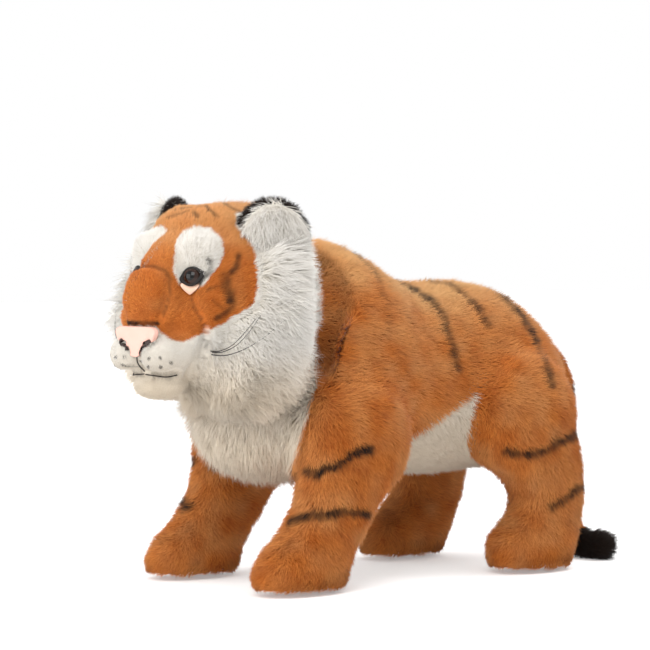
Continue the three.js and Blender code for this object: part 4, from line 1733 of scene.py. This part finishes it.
    def lengths(self, roots: Array) -> Array:
        """Share of the face coat's length: shorter round the nose and in the creases.

        Args:
            roots: Points the locks grow from.

        Returns:
            One share for each.
        """
        local = FACE.local(roots) / MM
        chart = FACE.chart(local)
        share = 1 - self.snout_less * self.snout.share(local)
        share += self.brow_more * ease(inside_outline(chart, BROW), *self.brow_edge)
        share += self.back_more * self.back_of_head.share(local)
        for crease in CREASES:
            share *= 1 - self.crease_less * ease(near_line(chart, crease), *self.crease_edge)
        return share

    def plant(self, surface: Surface) -> None:
        """Plants the head's pile, short on the face and long on the ruffs.

        Args:
            surface: The envelope of the face and the ruffs.
        """
        roots, normals = surface.scatter(self.density, seed=101)
        local = FACE.local(roots) / MM
        half = local[:, 0] > 0
        inward = inside_outline(FACE.chart(local), FACE_WHITE)
        pale = FACE_MARKS.face(roots).pale > 0.5
        long = pale & (inward > self.ruff_edge) & (local[:, 1] > self.ruff_start)
        front = (local[:, 1] < self.muzzle_start) & (local[:, 2] < 0) & ~long
        short = ~front & ~long
        for seed, (name, chosen, coat) in enumerate([("muzzle_pile", front, Coat.MUZZLE),
                                                     ("face_pile_left", half & short, Coat.FACE),
                                                     ("face_pile_right", ~half & short, Coat.FACE)],
                                                   start=110):
            pile = grow_pile(name, roots[chosen] - normals[chosen] * self.inset, normals[chosen],
                             self.combing(roots[chosen]), coat, FACE_MARKS.face, seed,
                             self.lengths(roots[chosen]))
            self.finish_pile(pile)
        thinned = np.random.default_rng(seed=9).random(len(roots)) < self.ruff_density / self.density
        for side, chosen in (("left", half & long & thinned), ("right", ~half & long & thinned)):
            self.plant_ruff(side, roots[chosen], normals[chosen], inward[chosen])

    def finish_pile(self, pile: bpy.types.Object) -> None:
        """Dresses a pile of the head and lets it ride.

        Args:
            pile: The pile.
        """
        dress(pile, self.material)
        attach(pile, "head")
        report(pile, "pile")

    def plant_ruff(self, side: str, roots: Array, normals: Array, inward: Array) -> None:
        """Plants the long white pile of one side, short at its edge on the face.

        Args:
            side: Left or right.
            roots: Points of the envelope.
            normals: Its normals there.
            inward: How far each lies inside the edge of the white, in millimetres.
        """
        local = FACE.local(roots) / MM
        sign = SIDES[side]
        far = self.far_fringe.share(local) * (side == "right")
        flow = np.tile(self.ruff_flow, (len(roots), 1)) * (sign, 1, 1)
        flow[:, 0] += sign * self.fan * self.fanned.share(local)
        flow[:, 1] -= self.sweep * self.swept.share(local) + self.far_sweep * far
        flow[:, 2] += self.stand * self.upright.share(local) - self.hang * self.hanging.share(local)
        full = ease(inward, *self.full_ruff) * self.beside_face.share(local)
        scale = self.least_ruff + self.more_ruff * full
        scale *= 1 - self.behind_less * self.behind_ruff.share(local)
        scale += self.fringe_more * self.fringe.share(local)
        scale *= 1 - self.jowl_less * self.jowl.share(local)
        under = ease(normals[:, 2], *self.facing_down)
        across = local[:, 0] * math.cos(FACE.view) + local[:, 1] * math.sin(FACE.view)
        scale *= 1 + under * (ease(across, *self.under_edge) - self.under_less)
        scale += self.far_more * far
        lift = self.puff_lift * self.puffed.share(local) + self.throat_lift * self.throat.share(local)
        lift += self.far_lift * far
        pile = grow_pile(f"cheek_ruff_{side}_pile", roots - normals * self.ruff_root, normals,
                         FACE.turn(unit(flow)), Coat.RUFF, FACE_MARKS.face, seed=122, scale=scale,
                         lift=lift)
        self.hold_in(pile)
        self.finish_pile(pile)

    def hold_in(self, pile: bpy.types.Object) -> None:
        """Presses the widest tips of a pile in, so that the toy stays as wide as its solids.

        Args:
            pile: The pile.
        """
        place = Surface.of(pile).points
        over = np.maximum(np.abs(place[:, 0]) - self.widest, 0)
        place[:, 0] -= np.sign(place[:, 0]) * over * self.squeeze
        pile.data.vertices.foreach_set("co", place.astype(np.float32).ravel())
        pile.data.update()

    def build_ruff(self, side: str) -> None:
        """Makes the padded core of one cheek ruff.

        Args:
            side: Left or right.
        """
        node = f"cheek_ruff_{side}"
        skin = stuffed_form([node], f"{node}_skin", self.ruff_voxel, self.ruff_inset, 3)
        tuck_under(skin, self.tree, self.ruff_depth)
        self.finish_padding(skin, node, FACE_MARKS.white)

    def finish_padding(self, skin: bpy.types.Object, node: str, look: Look) -> None:
        """Marks a padded skin of a ruff or an ear and lets it ride.

        Args:
            skin: The skin.
            node: The CAD node that it stands for.
            look: Function from points to Marks.
        """
        mark_skin(skin, look, self.material)
        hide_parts(node)
        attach(skin, "head")
        report(skin, "padded part")

    def build_ear(self, side: str) -> None:
        """Makes one ear: a black furred plate and its white lining.

        Args:
            side: Left or right.
        """
        forward = FACE.turn(np.array([[0.0, -1.0, 0.0]]))[0]
        lining = Surface.of(frame["nodes"][f"ear_lining_{side}"]).tree()
        for node, coat, look, density, slot in [
                (f"ear_{side}", Coat.EAR, black_marks, self.ear_density, "black_fur"),
                (f"ear_lining_{side}", Coat.LINING, FACE_MARKS.white, self.lining_density, "white_fur")]:
            skin = stuffed_form([node], f"{node}_skin", self.ear_voxel, self.ear_inset, 2, self.ear_swell)
            self.finish_padding(skin, node, look)
            roots, normals = Surface.of(skin).scatter(density, seed=130)
            centre = roots.mean(axis=0)
            scale = np.ones(len(roots))
            flow = roots - centre
            if coat is Coat.LINING:
                kept = normals @ forward > self.lining_facing
                reach = np.linalg.norm(flow, axis=1) / MM
                scale -= self.lining_less * ease(reach, *self.lining_edge)
                scale *= self.far_lining if side == "right" else 1
                flow = self.lining_spread * flow + self.lining_flow
            else:
                kept = distance_to(roots, lining) > self.lining_gap
            pile = grow_pile(f"{node}_pile", roots[kept], normals[kept], unit(flow[kept]), coat, look,
                             seed=133, scale=scale[kept])
            self.finish_pile(pile)


@dataclass
class Details:
    """Eyes with their rims and lids, nose, mouth thread and whiskers.

    Places, outlines and routes of the face are in millimetres.
    """

    eye: bpy.types.Material
    felt: bpy.types.Material
    lid: bpy.types.Material
    nose: bpy.types.Material
    thread: bpy.types.Material
    bristle: bpy.types.Material
    tree: BVHTree
    eye_place: Place = (33.8, -103.2, 38.0)
    eye_yaw: float = math.radians(22)
    eye_tilt: float = math.radians(10)
    eye_radius: float = 7.5 * MM
    eye_dome: float = 5.4 * MM
    pupil_edge: Edge = (4.4, 3.9)
    rim_radius: float = 7.3 * MM
    rim_thickness: float = 1.8 * MM
    rim_length: float = 1.02
    rim_points: float = 0.30
    rim_height: float = 0.93
    rim_turn: float = math.radians(16)
    rim_proud: float = 1.0 * MM
    rim_corner_drop: float = 1.2 * MM
    lid_outline: tuple[Edge, ...] = (
        (-59.0, 31.5), (-56.0, 33.5), (-49.0, 33.0), (-42.0, 33.5), (-39.5, 31.5),
        (-43.0, 27.0), (-47.5, 23.5), (-49.5, 22.5), (-51.5, 23.5), (-56.0, 27.5))
    lid_thickness: float = 1.6 * MM
    lid_bevel: float = 1.1 * MM
    nose_voxel: float = 0.9 * MM
    nostril: Edge = (12.5, -17)
    nostril_radius: float = 5.5
    nostril_front: float = -134
    nostril_floor: float = -138.2
    slit: tuple[Edge, ...] = ((8.5, -27.0), (10.5, -23.0), (13.5, -20.0), (17.5, -17.5))
    # Where the painted shade of the nostril slits starts and ends
    slit_dark: Edge = (3.1, 2.1)
    slit_edge: Edge = (4.2, 0.5)
    slit_depth: float = 2.0 * MM
    ray_length: float = 0.4
    above_face: float = 0.8 * MM
    thread_gap: float = 0.4 * MM
    mouth_thread: float = 0.55 * MM
    cleft_span: Edge = (-27, -42)
    cleft_thread: float = 0.6 * MM
    cleft_above: float = 1.4 * MM
    whisker_radius: float = 0.50 * MM
    whisker_taper: float = 0.75
    whisker_bow: float = 0.35
    whisker_routes: tuple[tuple[Place, ...], ...] = (
        ((47, -94, -25), (60, -97, -25.5), (73, -94, -21), (82, -88, -9), (88, -80, 4)),
        ((48, -93, -26), (62, -96, -26.5), (76, -91.5, -21), (85, -85, -8), (91, -78, 6)),
        ((47, -93, -28), (64, -94, -29.5), (80, -87, -24), (92, -74, -13), (100, -60, 1)),
    )

    def build(self) -> None:
        """Makes all the small pieces of the face."""
        for side, sign in SIDES.items():
            self.build_eye(side, sign)
            self.build_lid(side, sign)
            self.build_whiskers(side, sign)
        self.build_nose()
        self.build_mouth()

    def eye_matrix(self, sign: int) -> Matrix:
        """Matrix from an eye's own axis, +Z outwards, to the model's frame.

        Args:
            sign: 1 for the left eye, -1 for the right.

        Returns:
            The matrix.
        """
        across, back, up = self.eye_place
        seat = Matrix.Translation((sign * across * MM, back * MM, up * MM))
        turn = Matrix.Rotation(sign * self.eye_yaw, 4, "Z")
        tip = Matrix.Rotation(math.pi / 2 - self.eye_tilt, 4, "X")
        return FACE.matrix @ seat @ turn @ tip

    def build_eye(self, side: str, sign: int) -> None:
        """Makes a domed button and the dark felt round it.

        Args:
            side: Left or right.
            sign: 1 for the left, -1 for the right.
        """
        select_nothing()
        bpy.ops.mesh.primitive_uv_sphere_add(segments=40, ring_count=24, radius=1)
        button = bpy.context.view_layer.objects.active
        button.name = f"eye_button_{side}"
        size = Matrix.Diagonal((self.eye_radius, self.eye_radius, self.eye_dome, 1))
        button.data.transform(self.eye_matrix(sign) @ size)
        there = np.array(self.eye_matrix(sign).inverted())
        own = Surface.of(button).points @ there[:3, :3].T + there[:3, 3]
        reach = np.hypot(own[:, 0], own[:, 1]) / MM
        set_values(button.data, {"pupil": ease(reach, *self.pupil_edge)})
        self.finish_piece(button, self.eye, "eye_plastic", f"eye_{side}")

        select_nothing()
        bpy.ops.mesh.primitive_torus_add(major_segments=48, minor_segments=14,
                                         major_radius=self.rim_radius, minor_radius=self.rim_thickness)
        rim = bpy.context.view_layer.objects.active
        rim.name = f"eye_rim_{side}"
        shape = Surface.of(rim).points
        to_corner = np.abs(np.cos(np.arctan2(shape[:, 1], shape[:, 0])))
        shape[:, 0] *= self.rim_length + self.rim_points * to_corner ** 8
        shape[:, 1] *= self.rim_height
        shape[:, 2] += self.rim_proud - self.rim_corner_drop * to_corner ** 4
        rim.data.vertices.foreach_set("co", shape.astype(np.float32).ravel())
        rim.data.transform(self.eye_matrix(sign) @ Matrix.Rotation(sign * self.rim_turn, 4, "Z"))
        self.finish_piece(rim, self.felt, "black_fur")

    def finish_piece(self, piece: bpy.types.Object, material: bpy.types.Material, slot: str,
                     *nodes: str) -> None:
        """Dresses a rigid piece of the head and lets it ride.

        Args:
            piece: The piece.
            material: Its material.
            slot: The record's slot; not used.
            nodes: The CAD nodes that it stands for.
        """
        dress(piece, material)
        if nodes:
            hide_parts(*nodes)
        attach(piece, "head")
        report(piece, "small piece")

    def on_face(self, across: float, up: float, sign: int) -> tuple[Vector, Vector]:
        """Point and normal of the face at a place of the chart.

        Args:
            across: Place across the chart in millimetres.
            up: Place up the chart.
            sign: 1 for the left half of the face, -1 for the right.

        Returns:
            The point and the normal in the model's frame.
        """
        along, away = math.cos(FACE.view), math.sin(FACE.view)
        start = (sign * (across * along * MM + away * self.ray_length),
                 across * away * MM - along * self.ray_length, up * MM)
        return self.hit((start, (-sign * away, along, 0.0)))

    def hit(self, ray: tuple[Place, Place]) -> tuple[Vector, Vector]:
        """Point and normal of the face where a ray meets it.

        Args:
            ray: Start in metres and direction, in the head's frame.

        Returns:
            The point and the normal in the model's frame.
        """
        start = FACE.world(np.array([ray[0]]))[0]
        aim = FACE.turn(np.array([ray[1]]))[0]
        place, normal, _, _ = self.tree.ray_cast(Vector(start), Vector(aim))
        return place, normal

    def build_lid(self, side: str, sign: int) -> None:
        """Makes the peach lower lid, a small padded triangle.

        Args:
            side: Left or right.
            sign: 1 for the left, -1 for the right.
        """
        select_nothing()
        bpy.ops.mesh.primitive_circle_add(vertices=len(self.lid_outline), radius=1, fill_type="NGON")
        lid = bpy.context.view_layer.objects.active
        lid.name = f"lower_lid_{side}"
        for vertex, (across, up) in zip(lid.data.vertices, self.lid_outline):
            place, normal = self.on_face(across, up, sign)
            vertex.co = place + normal * self.above_face
        bpy.ops.object.mode_set(mode="EDIT")
        bpy.ops.mesh.select_all(action="SELECT")
        bpy.ops.mesh.extrude_region_move(TRANSFORM_OT_translate={"value": (0, 0, 0)})
        bpy.ops.transform.shrink_fatten(value=self.lid_thickness)
        bpy.ops.mesh.inset(thickness=self.lid_bevel)
        bpy.ops.mesh.select_all(action="SELECT")
        bpy.ops.mesh.normals_make_consistent(inside=False)
        bpy.ops.object.mode_set(mode="OBJECT")
        apply_modifier(lid, "SUBSURF", {"levels": 2, "render_levels": 2})
        self.finish_piece(lid, self.lid, "nose_skin")

    def build_nose(self) -> None:
        """Rounds the nose's edges and paints shade into its nostril slits."""
        nose = copy_of(["nose"], "nose_leather_form")
        apply_modifier(nose, "REMESH", {"mode": "VOXEL", "voxel_size": self.nose_voxel,
                                        "use_smooth_shade": True})
        place = FACE.local(Surface.of(nose).points) / MM
        across, up = self.nostril
        dimple = np.hypot(np.abs(place[:, 0]) - across, place[:, 2] - up) < self.nostril_radius
        place[dimple & (place[:, 1] < self.nostril_front), 1] = self.nostril_floor
        nose.data.vertices.foreach_set("co", FACE.world(place * MM).astype(np.float32).ravel())
        nose.data.update()
        fill_hollows(nose, rounds=14, shrink=0.8)
        surface = Surface.of(nose)
        local = FACE.local(surface.points) / MM
        slit = near_line(np.stack([np.abs(local[:, 0]), local[:, 2]], axis=1), self.slit)
        moved = surface.points - surface.normals * (ease(slit, *self.slit_edge) * self.slit_depth)[:, None]
        nose.data.vertices.foreach_set("co", moved.astype(np.float32).ravel())
        nose.data.update()
        # Painted shade in the pressed-in nostril slits
        set_values(nose.data, {"painted_nostril_shade": ease(slit, *self.slit_dark)})
        self.finish_piece(nose, self.nose, "nose_skin", "nose")

    def thread_along(self, name: str, line: tuple[Edge, ...], sign: int, radius: float) -> None:
        """Lays a stitched thread on the face along a line of the chart.

        Args:
            name: Its name.
            line: Places of the chart.
            sign: 1 for the left half of the face, -1 for the right.
            radius: The thread's radius.
        """
        across, up = np.array(line, float).T
        steps = np.linspace(0, len(line) - 1, 6 * len(line))
        whole = np.arange(len(line))
        path = []
        for spot in zip(np.interp(steps, whole, across), np.interp(steps, whole, up)):
            place, normal = self.on_face(*spot, sign)
            if FACE.local(np.array([place]))[0, 0] * sign > self.thread_gap:
                path.append(place + normal * self.above_face)
        for _ in range(8):
            path[1:-1] = [(low + place * 2 + high) / 4
                          for low, place, high in zip(path[:-2], path[1:-1], path[2:])]
        self.tube(name, path, [radius] * len(path), self.thread, "black_fur")

    def tube(self, name: str, path: list[Vector], radii: list[float], material: bpy.types.Material,
             slot: str, *nodes: str) -> None:
        """Makes a round tapered piece along a path.

        Args:
            name: Its name.
            path: Points that it follows.
            radii: Its radius at each.
            material: Its material.
            slot: The record's slot.
            nodes: The CAD nodes that it stands for.
        """
        curve = bpy.data.curves.new(name, "CURVE")
        curve.dimensions = "3D"
        curve.bevel_depth = 1.0
        curve.bevel_resolution = 2
        curve.use_fill_caps = True
        spline = curve.splines.new("POLY")
        spline.points.add(len(path) - 1)
        for point, place, radius in zip(spline.points, path, radii):
            point.co = (*place, 1)
            point.radius = radius
        holder = bpy.data.objects.new(name, curve)
        bpy.context.scene.collection.objects.link(holder)
        select_only(holder)
        bpy.ops.object.convert(target="MESH")
        self.finish_piece(bpy.context.view_layer.objects.active, material, slot, *nodes)

    def build_mouth(self) -> None:
        """Lays the thread of the mouth on both halves, and of the cleft under the nose."""
        for side, sign in SIDES.items():
            self.thread_along(f"mouth_thread_{side}", MOUTH[1:], sign, self.mouth_thread)
        path = []
        for up in np.linspace(*self.cleft_span, 12):
            place, normal = self.hit(((0, -self.ray_length, up * MM), (0.0, 1.0, 0.0)))
            path.append(place + normal * self.cleft_above)
        self.tube("cleft_thread", path, [self.cleft_thread] * len(path), self.thread, "black_fur")

    def build_whiskers(self, side: str, sign: int) -> None:
        """Makes three tapered whiskers along the routes of the solids.

        Args:
            side: Left or right.
            sign: 1 for the left, -1 for the right.
        """
        share = np.linspace(0, 1, 25)
        radii = [self.whisker_radius * (1 - self.whisker_taper * t) for t in share]
        for number, route in enumerate(self.whisker_routes, 1):
            spots = np.array(route, float) * [sign, 1, 1] * MM
            knots = np.linspace(0, 1, len(spots))
            weights = np.array([[math.comb(4, k) * t ** k * (1 - t) ** (4 - k) for k in range(5)]
                                for t in share])
            smooth = self.whisker_bow * weights @ spots + (1 - self.whisker_bow) * np.stack(
                [np.interp(share, knots, spots[:, axis]) for axis in range(3)], axis=1)
            kernel = np.array([0.25, 0.5, 0.25])
            for _ in range(6):
                for axis in range(3):
                    smooth[1:-1, axis] = np.convolve(smooth[:, axis], kernel, mode="valid")
            path = [Vector(place) for place in FACE.world(smooth)]
            self.tube(f"whisker_bristle_{side}_{number}", path, radii, self.bristle, "whisker_bristle",
                      f"whisker_{side}_{number}")


# Studio


@dataclass(frozen=True)
class Lamp:
    """Square soft lamp that points at the toy: where it hangs, its edge in metres and its watts."""

    name: str
    place: Place
    size: float
    power: float


@dataclass
class Studio:
    """Pale floor, soft lamps, white surroundings and the camera."""

    aim: Place = (0.0001, -0.044, 0.228)
    elevation: float = math.radians(2.2)
    distance: float = 2.6
    lens: float = 160.0
    sensor: float = 36.0
    floor_size: float = 14.0
    floor_patches: float = 3.0
    floor_dark: Colour = (0.93, 0.93, 0.93, 1)
    floor_light: Colour = (0.96, 0.96, 0.96, 1)
    floor_roughness: float = 0.9
    floor_glow: float = 0.3
    ambient: float = 0.86
    lamp_aim: Place = (0, 0, 0.17)
    lamps: tuple[Lamp, ...] = (
        Lamp("key", (1.5, -1.9, 2.1), 1.7, 41),
        Lamp("fill", (-0.3, -2.5, 0.55), 1.8, 26),
        Lamp("top", (0.2, 0.7, 2.4), 1.4, 24),
    )

    def build(self) -> None:
        """Makes everything that is not part of the toy."""
        bpy.context.scene.view_settings.view_transform = "Standard"
        self.make_camera()
        self.make_floor()
        self.make_world()
        for lamp in self.lamps:
            self.hang(lamp)

    def make_camera(self) -> None:
        """Puts the camera where the photograph was taken from."""
        back = Vector((math.sin(CAMERA_AZIMUTH) * math.cos(self.elevation),
                       -math.cos(CAMERA_AZIMUTH) * math.cos(self.elevation), math.sin(self.elevation)))
        camera = bpy.data.objects.new("camera", bpy.data.cameras.new("camera"))
        camera.data.lens = self.lens
        camera.data.sensor_width = self.sensor
        camera.location = Vector(self.aim) + Vector(SHIFT) + back * self.distance
        camera.rotation_mode = "QUATERNION"
        camera.rotation_quaternion = (-back).to_track_quat("-Z", "Y")
        bpy.context.scene.collection.objects.link(camera)
        bpy.context.scene.camera = camera

    def make_floor(self) -> None:
        """Lays the floor."""
        select_nothing()
        bpy.ops.mesh.primitive_plane_add(size=self.floor_size, location=(0, 0, 0))
        floor = bpy.context.view_layer.objects.active
        floor.name = "floor"
        graph = Graph.of_material("pale_floor")
        colour = graph.mix(graph.noise(self.floor_patches), self.floor_dark, self.floor_light)
        glow = graph.mix(graph.seen(), (0, 0, 0, 1), (1, 1, 1, 1))
        dress(floor, graph.finish({"Base Color": colour, "Roughness": self.floor_roughness,
                                   "Emission Color": glow, "Emission Strength": self.floor_glow}))

    def make_world(self) -> None:
        """Lights from all round, white where the camera, a reflection or glass looks at it."""
        world = bpy.data.worlds.new("white_room")
        bpy.context.scene.world = world
        graph = Graph(world)
        strength = graph.flow("ShaderNodeMix", 0, {}, {0: graph.seen(), 2: self.ambient, 3: 1.0})
        light = graph.flow("ShaderNodeBackground", 0, {}, {"Color": (1, 1, 1, 1), "Strength": strength})
        graph.node("ShaderNodeOutputWorld", {}, {"Surface": light})

    def hang(self, lamp: Lamp) -> None:
        """Hangs a lamp and points it at the toy.

        Args:
            lamp: The lamp.
        """
        light = bpy.data.lights.new(lamp.name, "AREA")
        light.size = lamp.size
        light.energy = lamp.power
        holder = bpy.data.objects.new(lamp.name, light)
        holder.location = lamp.place
        aim = Vector(self.lamp_aim) - Vector(lamp.place)
        holder.rotation_mode = "QUATERNION"
        holder.rotation_quaternion = aim.to_track_quat("-Z", "Y")
        bpy.context.scene.collection.objects.link(holder)


def main() -> None:
    """Builds the studio, then the toy: its head, body and tail, and the small pieces of the face."""
    logging.basicConfig(level=logging.INFO, format="%(name)s: %(message)s")
    Studio().build()
    pile = PileFinish().build()
    head = Head(pile)
    head.build()
    Body(pile).build(head.tree)
    Tail(pile).build()
    bristle = BRISTLE.build()
    Details(eye=EyeFinish().build(), felt=RIM_FELT.build(), lid=LID_FELT.build(), nose=NOSE_LEATHER.build(),
            thread=THREAD.build(), bristle=bristle, tree=head.tree).build()
    wire, plastic = WIRE.build(), PLASTIC.build()
    for name, node in frame["nodes"].items():
        if name.endswith("wire") or "washer" in name:
            node.data.materials.clear()
            node.data.materials.append(wire if name.endswith("wire") else plastic)


if __name__ == "__main__":
    main()
